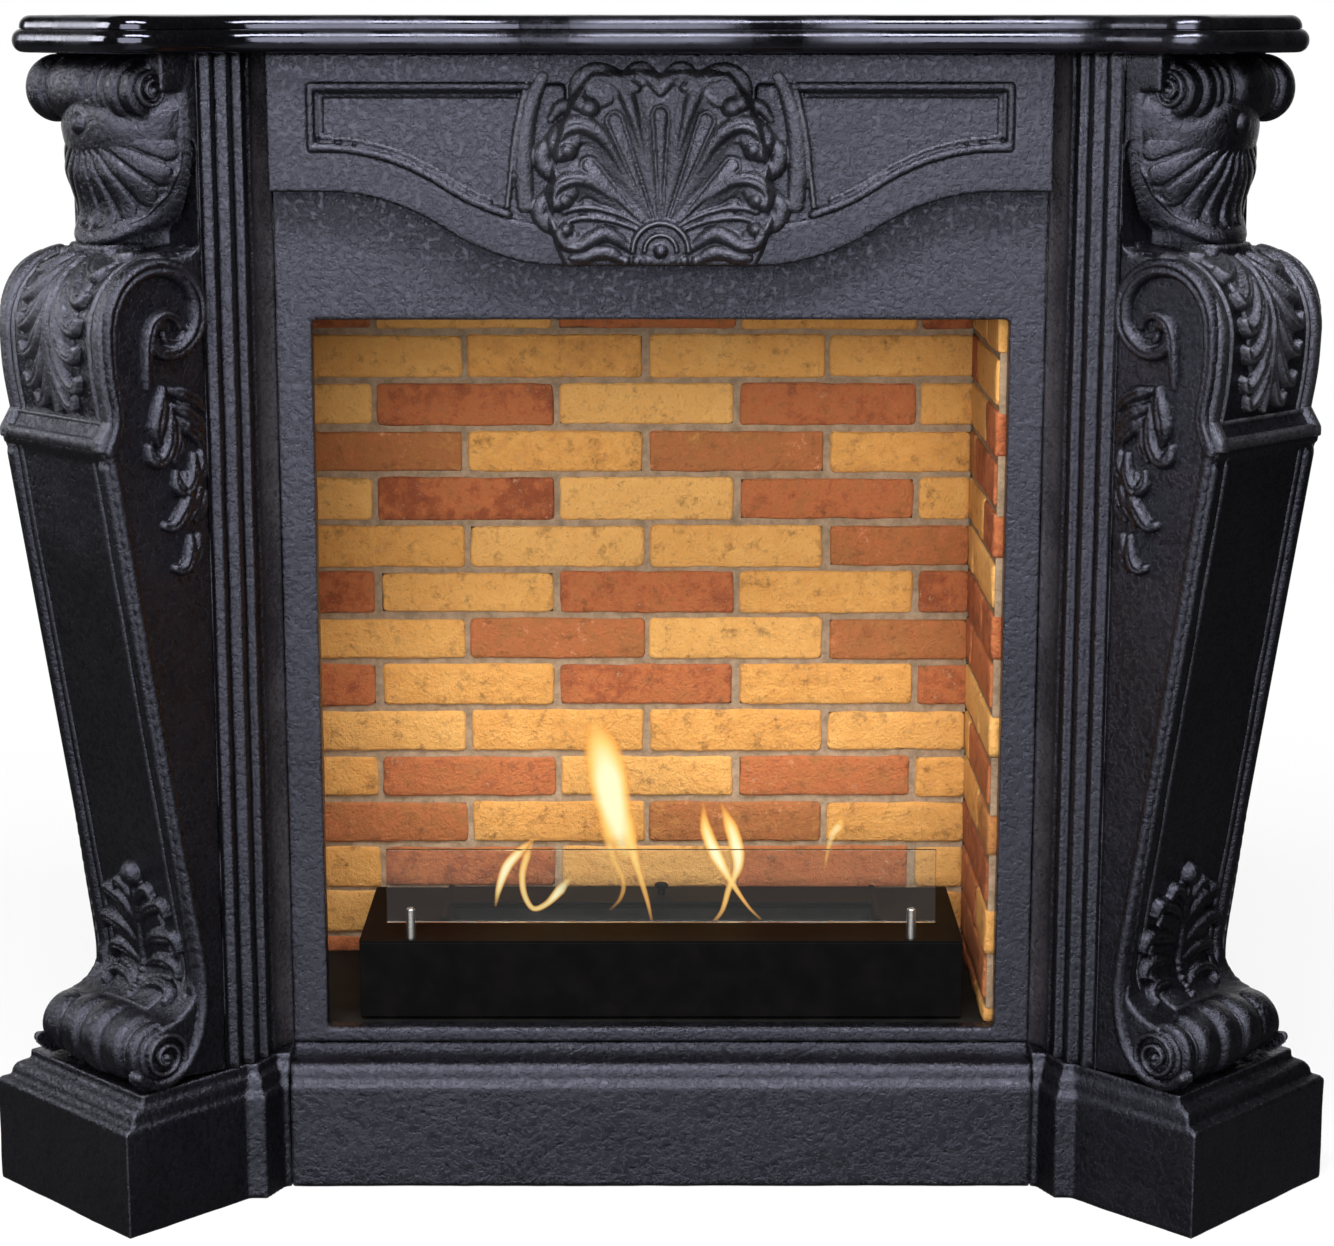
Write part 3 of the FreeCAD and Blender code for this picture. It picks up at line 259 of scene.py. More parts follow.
def metalFinish(name):
    look = metalLooks[name]
    made, start, put = newFinish(name, {"Metallic": look["metal"], "Specular IOR Level": look["shine"]})
    point = start.node("TexCoord", out="Object")
    drawn = start.node("Mapping", None, {"Vector": point, "Scale": look["drawn"]})
    coarse = start.noise(drawn, 35, 4)
    fine = start.noise(drawn, 900, 2)
    put("Base Color", coarse.step(0.35, 0.75).between(look["colour"], look["worn"]))
    put("Roughness", look["rough"] + (fine - 0.5) * 0.14 + (coarse - 0.5) * 0.1)
    put("Normal", start.bump(0.25, 0.0003, fine))
    return made


def glassFinish():
    made, start, put = newFinish("clear_glass", {"Transmission Weight": 1.0, "IOR": 1.46,
                                                 "Base Color": (0.955, 0.985, 0.975, 1)})
    point = start.node("TexCoord", out="Object")
    put("Roughness", start.noise(point, 18, 4).step(0.5, 0.9) * 0.02)
    return made


finishes = {name: stoneFinish(name) for name in stoneLooks}
finishes.update({name: roughFinish(name) for name in roughLooks})
finishes.update({name: metalFinish(name) for name in metalLooks})
finishes["brick"] = brickFinish()
finishes["clear_glass"] = glassFinish()
slotOf = {row["node"]: row["material_slot"] for row in frame["record"]["subparts"]}
for nodeName, obj in nodes.items():
    obj.data.materials.clear()
    obj.data.materials.append(finishes[slotOf[nodeName]])
nodes["fuel_tank"].data.materials[0] = finishes["near_black_steel"]  # the tank is coloured near black inside
print("finishes made:", len(finishes))


def meshOf(name, bm):
    mesh = bpy.data.meshes.new(name)
    bm.to_mesh(mesh)
    bm.free()
    return mesh


def placed(name, data):
    obj = bpy.data.objects.new(name, data)
    bpy.context.scene.collection.objects.link(obj)
    return obj


def addMesh(name, mesh, slot, body="mantel", replaces=(), sharp=None):
    mesh.materials.clear()
    mesh.materials.append(finishes[slot])
    mesh.shade_smooth()
    if sharp:
        mesh.set_sharp_from_angle(angle=math.radians(sharp))
    obj = placed(name, mesh)
    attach(obj, body)
    slot in slotOf.values()
    if replaces:
        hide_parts(*replaces)
    return obj


def addPiece(name, bm, slot, **more):
    return addMesh(name, meshOf(name, bm), slot, **more)


def mergedCopy(node):
    bm = bmesh.new()
    bm.from_mesh(nodes[node].data)
    bmesh.ops.remove_doubles(bm, verts=bm.verts, dist=1e-5)
    return bm


# the splayed console's own directions: along its width, outwards, up
splay = {"corner": (0.422, -0.138124), "width": 166.0}
alongAxis = np.array([math.sqrt(0.5), math.sqrt(0.5), 0])
outAxis = np.array([math.sqrt(0.5), -math.sqrt(0.5), 0])
upAxis = np.array([0.0, 0.0, 1.0])


def consolePoint(along, out, height):
    corner = np.array([*splay["corner"], 0])
    spot = (np.multiply.outer(along, alongAxis) + np.multiply.outer(out, outAxis)
            + np.multiply.outer(height, upAxis))
    return corner + spot * mm


stoneCopies = {  # cell size, smoothing and waviness of each cast, and how flat it is while it gets its cells
    "surround_panel": {"voxel": 3.2, "rounds": 3, "wave": 1.0, "flat": 1.0},
    "hearth_base": {"voxel": 2.8, "rounds": 3, "wave": 1.2, "flat": 1.0},
    "right_plinth": {"voxel": 2.8, "rounds": 3, "wave": 1.4, "flat": 1.0},
    "left_plinth": {"voxel": 2.8, "rounds": 3, "wave": 1.4, "flat": 1.0},
    "frieze": {"voxel": 2.2, "rounds": 9, "wave": 1.0, "flat": 1.0},
    "right_console": {"voxel": 2.6, "rounds": 3, "wave": 1.2, "flat": 0.62},
    "left_console": {"voxel": 2.6, "rounds": 3, "wave": 1.2, "flat": 0.62},
    "right_jamb": {"voxel": 2.0, "rounds": 1, "wave": 1.1, "flat": 0.22},
    "left_jamb": {"voxel": 2.0, "rounds": 1, "wave": 1.1, "flat": 0.22},
}
waveSizes = {"slowWave": (0.07, 1.6), "quickWave": (0.016, 0.3)}  # scale, share of the waviness
waves = []
for label, (scale, share) in waveSizes.items():
    wave = bpy.data.textures.new(label, "CLOUDS")
    wave.noise_scale = scale
    wave.noise_depth = 2
    waves.append((wave, share))


def evaluated(obj):
    shown = obj.evaluated_get(bpy.context.evaluated_depsgraph_get())
    return bpy.data.meshes.new_from_object(shown)


def remeshed(bm, how):
    bmesh.ops.scale(bm, vec=(1, 1, how["flat"]), verts=bm.verts)
    mesh = meshOf("casting", bm)
    pattern = placed("pattern", mesh)
    obj = placed("casting", mesh)
    grid = obj.modifiers.new("grid", "REMESH")
    grid.mode = "VOXEL"
    grid.voxel_size = how["voxel"] * mm
    fit = obj.modifiers.new("fit", "SHRINKWRAP")
    fit.target = pattern
    soft = obj.modifiers.new("soft", "SMOOTH")
    soft.factor = 0.5
    soft.iterations = how["rounds"]
    obj.data = evaluated(obj)
    obj.modifiers.clear()
    obj.data.transform(Matrix.Diagonal((1, 1, 1 / how["flat"], 1)))  # full height again
    for texture, share in waves:
        rough = obj.modifiers.new("rough", "DISPLACE")
        rough.texture = texture
        rough.texture_coords = "LOCAL"
        rough.strength = how["wave"] * share * mm
    made = evaluated(obj)
    bpy.data.objects.remove(obj)
    bpy.data.objects.remove(pattern)
    return made


roll = {"out": 39.0, "height": 1073.0, "radius": 33.0}
foot = {"out": 72.0, "height": 167.0, "radius": 32.0}
rollDraw = 0.22  # share of the radius


def slimRolls(bm, side):
    # the plain rolls draw in, so that the lobed ones made below cover them
    for v in bm.verts:
        x = (v.co.x * side - splay["corner"][0]) / mm
        y = (v.co.y - splay["corner"][1]) / mm
        out = (x - y) * math.sqrt(0.5)
        for part in (roll, foot):
            away = Vector((out - part["out"], v.co.z / mm - part["height"]))
            if 1 < away.length < part["radius"] + 0.5 and (away.x > 0.5 or away.y < -0.5):
                drawn = away * -rollDraw * mm
                v.co += Vector((side * outAxis[0], outAxis[1], 0)) * drawn.x + Vector((0, 0, drawn.y))


def smooth(x):
    x = np.clip(x, 0, 1)
    return x * x * (3 - 2 * x)


def vertexSpots(mesh):
    spots = np.empty(len(mesh.vertices) * 3)
    mesh.vertices.foreach_get("co", spots)
    return spots.reshape(-1, 3) / mm


reeds = {"corner": (366.0, -58.124), "run": 56.0, "rise": 80.0, "groove": 0.05, "lip": 0.25, "crown": 0.025,
         "start": 0.27, "cove": (-0.02, 0.30), "coveEdges": (0.06, 0.08),
         "across": ((0.34, 0.52), (0.57, 0.75), (0.80, 0.95)),
         "forward": ((0.39, 0.58), (0.565, 0.775), (0.76, 0.93)),
         "shown": ((0.33, 0.46), (0.505, 0.705), (0.74, 0.975))}


def proudReeds(bm, side):
    # each slanting reed turns its broad face to the front, over a deeper groove
    knots, shown = ([reeds["start"], *np.ravel(reeds[key]), 1] for key in ("across", "shown"))
    for v in bm.verts:
        across = (v.co.x * side / mm - reeds["corner"][0]) / reeds["run"]
        forward = (reeds["corner"][1] - v.co.y / mm) / reeds["rise"]
        if not 0.28 < across < 0.99 or forward < across:
            continue
        for (first, last), (low, high) in zip(reeds["across"], reeds["forward"]):
            if first - 0.01 < across < last + 0.01:
                share = min(1, max(0, (across - first) / (last - first)))
                ramp = 1 - (1 - min(1, share / reeds["lip"])) ** 2
                forward = (low - reeds["groove"]) * (1 - ramp) + high * ramp
                forward += reeds["crown"] * share * (1 - share)
        v.co.x = side * (reeds["corner"][0] + np.interp(across, knots, shown) * reeds["run"]) * mm
        v.co.y = (reeds["corner"][1] - forward * reeds["rise"]) * mm


def paintCoveLight(mesh, side):
    # painted light: the cove between the reeds and the surround is painted pale, where it faces sideways and
    # gets little of the lamps
    across = (vertexSpots(mesh)[:, 0] * side - reeds["corner"][0]) / reeds["run"]
    (low, high), (lowRun, highRun) = reeds["cove"], reeds["coveEdges"]
    share = smooth((across - low) / lowRun) * smooth((high - across) / highRun)
    coveLit = mesh.attributes.new("dusted", "FLOAT", "POINT")
    coveLit.data.foreach_set("value", share.astype(np.float32))


neckStep = {"levels": (926, 946, 964, 988, 1014, 1045), "edges": (54, 54, 31, 19, 13, 8),
            "run": 7.0, "back": 2.0, "foot": 927, "footRun": 3, "head": 1040, "headRun": 20}


def steppedNeck(mesh, side):
    # outside the shell's frame the neck goes back to the face of the jamb
    spots = vertexSpots(mesh)
    z = spots[:, 2]
    x = spots[:, 0] * side - splay["corner"][0] / mm
    y = spots[:, 1] - splay["corner"][1] / mm
    along, out = (x + y) * math.sqrt(0.5), (x - y) * math.sqrt(0.5)
    near = np.minimum(along, splay["width"] - along)
    share = smooth((np.interp(z, neckStep["levels"], neckStep["edges"]) - near) / neckStep["run"])
    share *= smooth((z - neckStep["foot"]) / neckStep["footRun"])
    share *= smooth((neckStep["head"] - z) / neckStep["headRun"])
    back = np.clip(out - neckStep["back"], 0, None) * share
    spots[:, 0] -= side * outAxis[0] * back
    spots[:, 1] -= outAxis[1] * back
    mesh.vertices.foreach_set("co", (spots * mm).ravel())


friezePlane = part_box("surround_panel")[0].y - 30 * mm  # the slab's front


def flatFrieze(bm):
    # the plain shell goes back to the slab, the carved one stands there instead
    for v in bm.verts:
        v.co.y = max(v.co.y, friezePlane)


for node, how in stoneCopies.items():
    side = 1 if node.startswith("right") else -1
    bm = mergedCopy(node)
    if node == "frieze":
        flatFrieze(bm)
    elif node.endswith("console"):
        slimRolls(bm, side)
    elif node.endswith("jamb"):
        proudReeds(bm, side)
    cast = remeshed(bm, how)
    if node.endswith("console"):
        steppedNeck(cast, side)
    elif node.endswith("jamb"):
        paintCoveLight(cast, side)
    addMesh(node + "_cast", cast, slotOf[node], replaces=[node])
    print("cast", node, len(cast.polygons), "faces")


# carving: heights above a face, from ridges drawn along paths in millimetres
def curvePath(points, count=8):
    spots = np.array(points, float)
    spots = np.vstack([2 * spots[0] - spots[1], spots, 2 * spots[-1] - spots[-2]])
    t = np.linspace(0, 1, count, endpoint=False)[:, None]
    runs = []
    for a, b, c, d in zip(spots, spots[1:], spots[2:], spots[3:]):
        runs.append(0.5 * (2 * b + (c - a) * t + (2 * a - 5 * b + 4 * c - d) * t ** 2
                           + (3 * b - a - 3 * c + d) * t ** 3))
    return np.vstack(runs + [spots[-2:-1]])


def spiralPath(centre, radii, turns, count):
    angle = np.radians(np.linspace(*turns, count))
    radius = np.linspace(*radii, count)
    return np.column_stack([centre[0] + radius * np.cos(angle), centre[1] + radius * np.sin(angle)])


def runAlong(path):
    return np.concatenate([[0], np.cumsum(np.hypot(*np.diff(path, axis=0).T))])


def heading(degrees):
    return np.array([math.sin(math.radians(degrees)), math.cos(math.radians(degrees))])


def spread(values, share):
    return np.interp(share, np.linspace(0, 1, len(values)), values)


nowhere = -99.0  # height where a ridge or a dome isn't


def ridge(u, v, path, widths, heights, crown=0.55):
    # height of a rounded ridge along the path, far below zero away from it
    result = np.full(u.shape, nowhere)
    reach = max(widths)
    low, high = path.min(0) - reach, path.max(0) + reach
    near = np.nonzero((u > low[0]) & (u < high[0]) & (v > low[1]) & (v < high[1]))[0]
    pu, pv = u[near], v[near]
    best = np.full(near.shape, nowhere)
    run = runAlong(path)
    share = run / run[-1]
    for a, b, start, end in zip(path, path[1:], share, share[1:]):
        d = b - a
        k = np.clip(((pu - a[0]) * d[0] + (pv - a[1]) * d[1]) / max(d @ d, 1e-9), 0, 1)
        off = np.hypot(pu - a[0] - k * d[0], pv - a[1] - k * d[1])
        at = start + k * (end - start)
        width = spread(widths, at)
        inside = np.clip(1 - (off / width) ** 2, 0, None)
        best = np.maximum(best, np.where(off < width, spread(heights, at) * inside ** crown, nowhere))
    result[near] = best
    return result


def dome(u, v, centre, radius, height, crown=0.55):
    inside = 1 - ((u - centre[0]) ** 2 + (v - centre[1]) ** 2) / radius ** 2
    return np.where(inside > 0, height * np.clip(inside, 0, None) ** crown, nowhere)


def bead(x, line, width, tall, fade=1, crown=0.5):
    # a rounded bar along a line, a little below zero beside it
    arch = np.clip(1 - ((x - line) / width) ** 2, 0, None) ** crown
    return np.where(np.abs(x - line) < width, arch * tall * fade, -3)


def furrow(u, v, path, widths, depths):
    return np.clip(ridge(u, v, path, widths, depths), 0, None)


def leaves(height, u, v, lobes, skip, groove, fuller=1):
    # each lobe rises over the ground and has a furrow along its back
    for points, widths, heights in lobes:
        path = curvePath(points)
        height = np.maximum(height, ridge(u, v, path, [w * fuller for w in widths], heights))
        height -= furrow(u, v, path[skip:], *groove)
    return height


plate = {"sink": 5.0, "smoothing": 0.35}


def carvedPlate(how, rise, place, cut=-1.4, rounds=1):
    # a grid over the span, raised to its carved height, with walls and a back inside the stone
    (u0, u1), (v0, v1) = how["span"]
    cells = [round((end - start) / how["step"]) for start, end in how["span"]]
    sink = plate["sink"]
    bm = bmesh.new()
    bmesh.ops.create_grid(bm, x_segments=cells[0], y_segments=cells[1], size=1)
    bm.verts.ensure_lookup_table()
    grid = np.array([v.co for v in bm.verts])
    u = u0 + (grid[:, 0] + 1) / 2 * (u1 - u0)
    v = v0 + (grid[:, 1] + 1) / 2 * (v1 - v0)
    height = np.maximum(rise(u, v), 1 - sink)
    base, normal = place(u, v)
    lifts = normal * ((height + sink) * mm)[:, None]
    under = base - normal * sink * mm
    lift = bm.verts.layers.float_vector.new("lift")
    for vert, spot, up in zip(bm.verts, under, lifts):
        vert.co = spot
        vert[lift] = up
    bare = [f for f in bm.faces if max(height[vert.index] for vert in f.verts) < cut]
    bmesh.ops.delete(bm, geom=bare, context="FACES")
    made = bmesh.ops.extrude_face_region(bm, geom=bm.faces[:], use_keep_orig=True)["geom"]
    top = [g for g in made if isinstance(g, bmesh.types.BMVert)]
    for vert in top:
        vert.co += vert[lift]
    for _ in range(rounds):
        bmesh.ops.smooth_vert(bm, verts=top, factor=plate["smoothing"], use_axis_x=True, use_axis_y=True,
                              use_axis_z=True)
    bm.verts.layers.float_vector.remove(lift)
    bmesh.ops.recalc_face_normals(bm, faces=bm.faces)
    return bm


def bothSides(name, bm):
    other = bm.copy()
    bmesh.ops.transform(other, matrix=Matrix.Diagonal((-1, 1, 1, 1)), verts=other.verts)
    bmesh.ops.reverse_faces(other, faces=other.faces)
    addPiece("right_" + name, bm, "carved_stone")
    addPiece("left_" + name, other, "carved_stone")
    print("carved", name)


# shell cartouche on the frieze: u across, v up from the frieze's lowest point
cartouche = {
    "span": ((-152, 152), (2, 190)), "step": 1.25, "foot": 909.0, "hub": 22.0, "heart": (0, 15),
    "relief": 0.84, "shallow": 0.55, "sinks": 138, "sinkRun": 44,
    "tongues": ((0, 119), (20.5, 121), (42.5, 98), (63.5, 76)),  # degrees from upright, length
    "rimTurn": (0, 12, 22, 34, 45, 60, 72, 85, 100, 118, 140),
    "rimReach": (160, 165, 172, 156, 138, 120, 112, 106, 98, 86, 60),
    "eyes": (((56, 164), 17, 7), ((85, 119), 13, 7), ((88, 71), 12, 7), ((84, 27), 9, 6), ((19, 174), 9, 6)),
    "rings": ((26, 3.2, 13), (15, 2.6, 12)),  # round the heart: radius, half-width, height
    "knobs": ((24, 8, 0.3), (8.5, 15, 0.55)),  # on the heart: radius, height, crown
    "beads": {"at": (0, 11, 22, 33), "level": 6, "radius": 5.2, "rise": 9},
}
curls = [  # path from the hub into its curl, half-widths, heights
    ([(4, 46), (11, 82), (20, 120), (28, 149), (35, 167), (48, 177), (63, 179), (75, 170), (76, 155),
      (66, 148)], (1.2, 2.2, 3, 5, 8, 10, 10, 9), (2, 3, 4, 8, 11, 13, 13, 12)),
    ([(8, 43), (22, 67), (36, 91), (48, 113), (60, 126), (75, 132), (90, 127), (99, 116), (95, 106),
      (86, 108)], (1.2, 2.2, 3, 5, 8, 9.5, 9, 8), (2, 3, 4, 8, 11, 13, 13, 12)),
    ([(11, 39), (29, 54), (44, 64), (55, 72), (67, 80), (81, 82), (94, 77), (101, 67), (97, 59), (89, 62)],
     (1.2, 2.2, 3, 4.5, 7, 8.5, 8, 7), (2, 3, 4, 8, 11, 13, 13, 12)),
    ([(13, 35), (30, 45), (46, 51), (62, 55), (77, 55), (90, 51)], (1.2, 2.4, 3, 3.2, 2.5), (2, 4, 6, 6, 4)),
    ([(14, 31), (32, 39), (50, 44), (72, 46), (88, 42)], (1.2, 2.4, 3, 3.2, 2.5), (2, 4, 6, 6, 4)),
    ([(30, 18), (42, 27), (53, 31), (64, 26), (75, 20), (88, 22), (94, 31), (88, 35)],
     (4, 7, 8, 8, 7, 6.5, 6), (5, 9, 11, 12, 12, 12, 11)),
    ([(36, 7), (48, 13), (60, 13), (72, 9), (82, 9)], (4, 7, 7, 6, 4), (5, 8, 9, 8, 5)),
    ([(0, 163), (9, 176), (17, 182), (26, 180), (29, 171), (23, 166)],
     (6, 8, 8.5, 7.5, 6), (8, 12, 13, 13, 12)),
    ([(104, 118), (111, 102), (104, 88), (94, 82)], (5, 9, 9, 5), (6, 10, 10, 6)),
    ([(105, 68), (113, 53), (107, 39), (96, 32)], (5, 9, 9, 5), (6, 10, 10, 6)),
    ([(78, 152), (92, 148), (102, 136)], (4, 7, 4), (6, 9, 6)),
    ([(36, 154), (44, 163), (55, 165)], (2, 4, 2), (3, 6, 3)),
    ([(70, 116), (79, 120), (86, 117)], (2, 4, 2), (3, 6, 3)),
]
border = [(109, 175), (116, 162), (123, 140), (127, 115), (128, 88), (126, 58)]
borderLip = [(124, 170), (131, 142), (136, 115), (139, 88), (143, 56)]


def cartoucheRise(u, v):
    x = np.abs(u)
    hub = cartouche["hub"]
    reach = np.hypot(x, v - hub)
    turn = np.degrees(np.arctan2(x, v - hub))
    rim = np.interp(turn, cartouche["rimTurn"], cartouche["rimReach"])
    base = -4 + smooth((rim - reach) / 9) * (6 + 8 * smooth((reach - 25) / 110))
    flute = base.copy()
    for points, _, _ in curls[:3]:  # flutes rise softly to the ribs between them
        flute = np.maximum(flute, base + ridge(x, v, curvePath(points[:6]), (5, 13, 17), (2, 4, 5), 1.4))
    height = flute.copy()
    for degrees, length in cartouche["tongues"]:
        path = np.array([(0, hub)]) + np.linspace(26, length, 12)[:, None] * heading(degrees)
        groove = ridge(x, v, path, (2.6, 5.6, 9.0), (1,)) > 0
        height = np.where(groove, flute - 2.4, height)
        height = np.maximum(height, flute + ridge(x, v, path, (1.4, 3.6, 6.2), (1.0, 2.4, 3.0), 0.4))
    for points, widths, heights in curls:
        height = np.maximum(height, base + ridge(x, v, curvePath(points), widths, heights))
        if len(points) > 7:  # a ball ends each large curl, a furrow runs along its back
            height = np.maximum(height, base + dome(x, v, points[-1], widths[-1] + 1.2, heights[-1] + 3))
            height -= furrow(x, v, curvePath(points[4:-2]), (1.0, 1.8, 1.2), (0.6, 2.2, 1.0))
    for centre, radius, tall in cartouche["eyes"]:
        height = np.maximum(height, base + dome(x, v, centre, radius, tall, 0.35))
    for radius, width, tall in cartouche["rings"]:
        ring = spiralPath(cartouche["heart"], (radius, radius), (0, 180), 30)
        height = np.maximum(height, ridge(x, v, ring, (width,), (tall,)))
    for radius, tall, crown in cartouche["knobs"]:
        height = np.maximum(height, dome(x, v, cartouche["heart"], radius, tall, crown))
    beads = cartouche["beads"]
    for at in beads["at"]:
        height = np.maximum(height, dome(x, v, (at, beads["level"]), beads["radius"], beads["rise"]))
    band = ridge(x, v, curvePath(border), (6, 8, 9, 9, 8), (5, 7, 7, 6, 3))
    lip = ridge(x, v, curvePath(borderLip), (2.6, 3, 3, 2.6), (4, 4.6, 4.6, 3.6))
    height = np.maximum(np.maximum(height, band), lip)
    sunk = smooth((v - cartouche["sinks"]) / cartouche["sinkRun"])  # flatter under the shelf
    return np.where(height > 0, height * (cartouche["relief"] * (1 - cartouche["shallow"] * sunk)), height)


def friezeFace(u, v):
    flat = np.full(u.shape, friezePlane)
    return (np.column_stack([u * mm, flat, (cartouche["foot"] + v) * mm]),
            np.tile((0.0, -1.0, 0.0), (len(u), 1)))


addPiece("shell_cartouche", carvedPlate(cartouche, cartoucheRise, friezeFace), "carved_stone")
print("carved cartouche")


# sunk panels of the frieze: a bead round each
panelBead = {"span": ((-362, 362), (2, 172)), "step": 1.7, "width": 4.6, "rise": 3.4,
             "inner": (2.2, -1.6), "edge": (315, 88, 110, 41)}


def friezeLine(shoulder, tongue, side, middle):
    run, drop = shoulder - tongue, side - middle
    radius = (run ** 2 + drop ** 2) / (4 * drop)
    turn = 2 * math.atan(drop / run)
    angle = np.linspace(0, turn, 16)
    upper = np.column_stack([shoulder - radius * np.sin(angle), side - radius + radius * np.cos(angle)])
    lower = np.column_stack([tongue + radius * np.sin(angle), middle + radius - radius * np.cos(angle)])
    return np.vstack([upper, lower[::-1]])


def panelRise(u, v):
    x = np.abs(u)
    low = friezeLine(*panelBead["edge"])
    frameLine = np.vstack([[(124, 166)], [(325, 166)], [(325, 110)], low[low[:, 0] > 141]])
    inner = np.vstack([[(136, 158)], [(316, 158)], [(316, 119)], low[low[:, 0] > 155] + (0, 9)])
    height = ridge(x, v, frameLine, (panelBead["width"],), (panelBead["rise"],))
    width, rise = panelBead["inner"]
    return np.maximum(height, ridge(x, v, inner, (width,), (rise,)))


addPiece("frieze_beads", carvedPlate(panelBead, panelRise, friezeFace), "carved_stone")
print("carved frieze beads")


# neck shell: u round the bow, v down from the hinge
neck = {"span": ((-112, 112), (-18, 110)), "step": 1.25, "hinge": 1043.0, "radius": 76.8, "axis": -10.8,
        "waist": 11.0, "levels": (924, 960, 1004), "petals": 13, "fan": 195.0,
        "reach": (97, 99, 103, 104, 100, 97)}


def neckRadius(height):
    low, middle, high = neck["levels"]  # drawn in at the middle one
    drawn = np.where(height < middle, (height - low) / (middle - low), (high - height) / (high - middle))
    return neck["radius"] - neck["waist"] * smooth(drawn)


def petalReach(degrees):
    return np.interp(degrees, np.linspace(0, 90, len(neck["reach"])), neck["reach"])


def neckFace(u, v):
    height = neck["hinge"] - v
    radius = neckRadius(height)
    turn = u / neck["radius"]
    along = splay["width"] / 2 + radius * np.sin(turn)
    spot = consolePoint(along, neck["axis"] + radius * np.cos(turn), height)
    return spot, np.outer(np.sin(turn), alongAxis) + np.outer(np.cos(turn), outAxis)


def neckRise(u, v):
    x = np.abs(u)
    reach = np.hypot(x, v)
    turn = np.degrees(np.arctan2(x, v))
    rim = petalReach(turn)
    base = -3 + smooth((rim + 6 - reach) / 5) * (5.5 + 2 * smooth(reach / 90))
    height = base.copy()
    pitch = neck["fan"] / neck["petals"]
    for i in range(neck["petals"] // 2 + 1):
        degrees = i * pitch
        length = petalReach(degrees)
        full = length * math.tan(math.radians(pitch / 2)) * 0.88
        path = np.linspace(14, length - full, 16)[:, None] * heading(degrees)
        height = np.where(ridge(x, v, path, (1.8, full * 0.6, full), (1,)) > 0, base - 2.2, height)
        petal = ridge(x, v, path, (1.2, full * 0.52, full * 0.88), (1.2, 2.2, 2.8), 0.3)
        height = np.maximum(height, base + petal)
    scallop = np.abs(np.sin(np.radians(turn / pitch * 180 + 90))) * 3
    height = np.maximum(height, np.where(np.abs(reach - rim - 4 + scallop) < 3.4, base + 2.2, nowhere))
    return np.maximum(height, dome(x, v, (0, 0), 13, 13))


bothSides("neck_shell", carvedPlate(neck, neckRise, neckFace, rounds=2))

neckFrame = {"span": ((0, 166), (926, 1072)), "step": 1.5, "core": 12.0, "width": 9.5, "rise": 8.0}
framePath = [(15, 1100), (11, 1076), (10, 1045), (13, 1014), (19, 988), (31, 964), (54, 946), (83, 940)]


def neckFront(u, v):
    radius = neckRadius(v)
    bow = neck["axis"] + np.sqrt(np.clip(radius ** 2 - (u - splay["width"] / 2) ** 2, 0, None))
    return consolePoint(u, np.maximum(bow, neckFrame["core"]), v), np.tile(outAxis, (len(u), 1))


def frameRise(u, v):
    near = splay["width"] / 2 - np.abs(u - splay["width"] / 2)
    return ridge(near, v, curvePath(framePath), (neckFrame["width"],), (neckFrame["rise"],), 0.4)


bothSides("neck_frame", carvedPlate(neckFrame, frameRise, neckFront))


# front of the console: v runs down the face from the collar
frontParts = [
    spiralPath((39, 852), (72, 72), (90, 0), 40),  # shoulder
    curvePath([(111, 852), (109, 815), (103, 778)], 20)[1:],  # belly
    np.array([(115, 760), (115, 748), (110, 742)]),  # knee
    np.linspace((110, 741), (29, 239), 60),  # shaft
    spiralPath((72, 239), (43, 43), (180, 262), 24)[1:],  # sweep to the foot
]
front = np.vstack(frontParts)
frontRun = runAlong(front)


def frontFace(u, v):
    out = np.interp(v, frontRun, front[:, 0])
    height = np.interp(v, frontRun, front[:, 1])
    ahead, behind = np.minimum(v + 2, frontRun[-1]), np.maximum(v - 2, 0)
    runOut = np.interp(ahead, frontRun, front[:, 0]) - np.interp(behind, frontRun, front[:, 0])
    runDown = np.interp(ahead, frontRun, front[:, 1]) - np.interp(behind, frontRun, front[:, 1])
    length = np.hypot(runOut, runDown)
    normal = np.outer(-runDown / length, outAxis) + np.outer(runOut / length, upAxis)
    return consolePoint(splay["width"] / 2 + u, out, height), normal


def runAt(height):
    return float(np.interp(-height, -front[:, 1], frontRun))


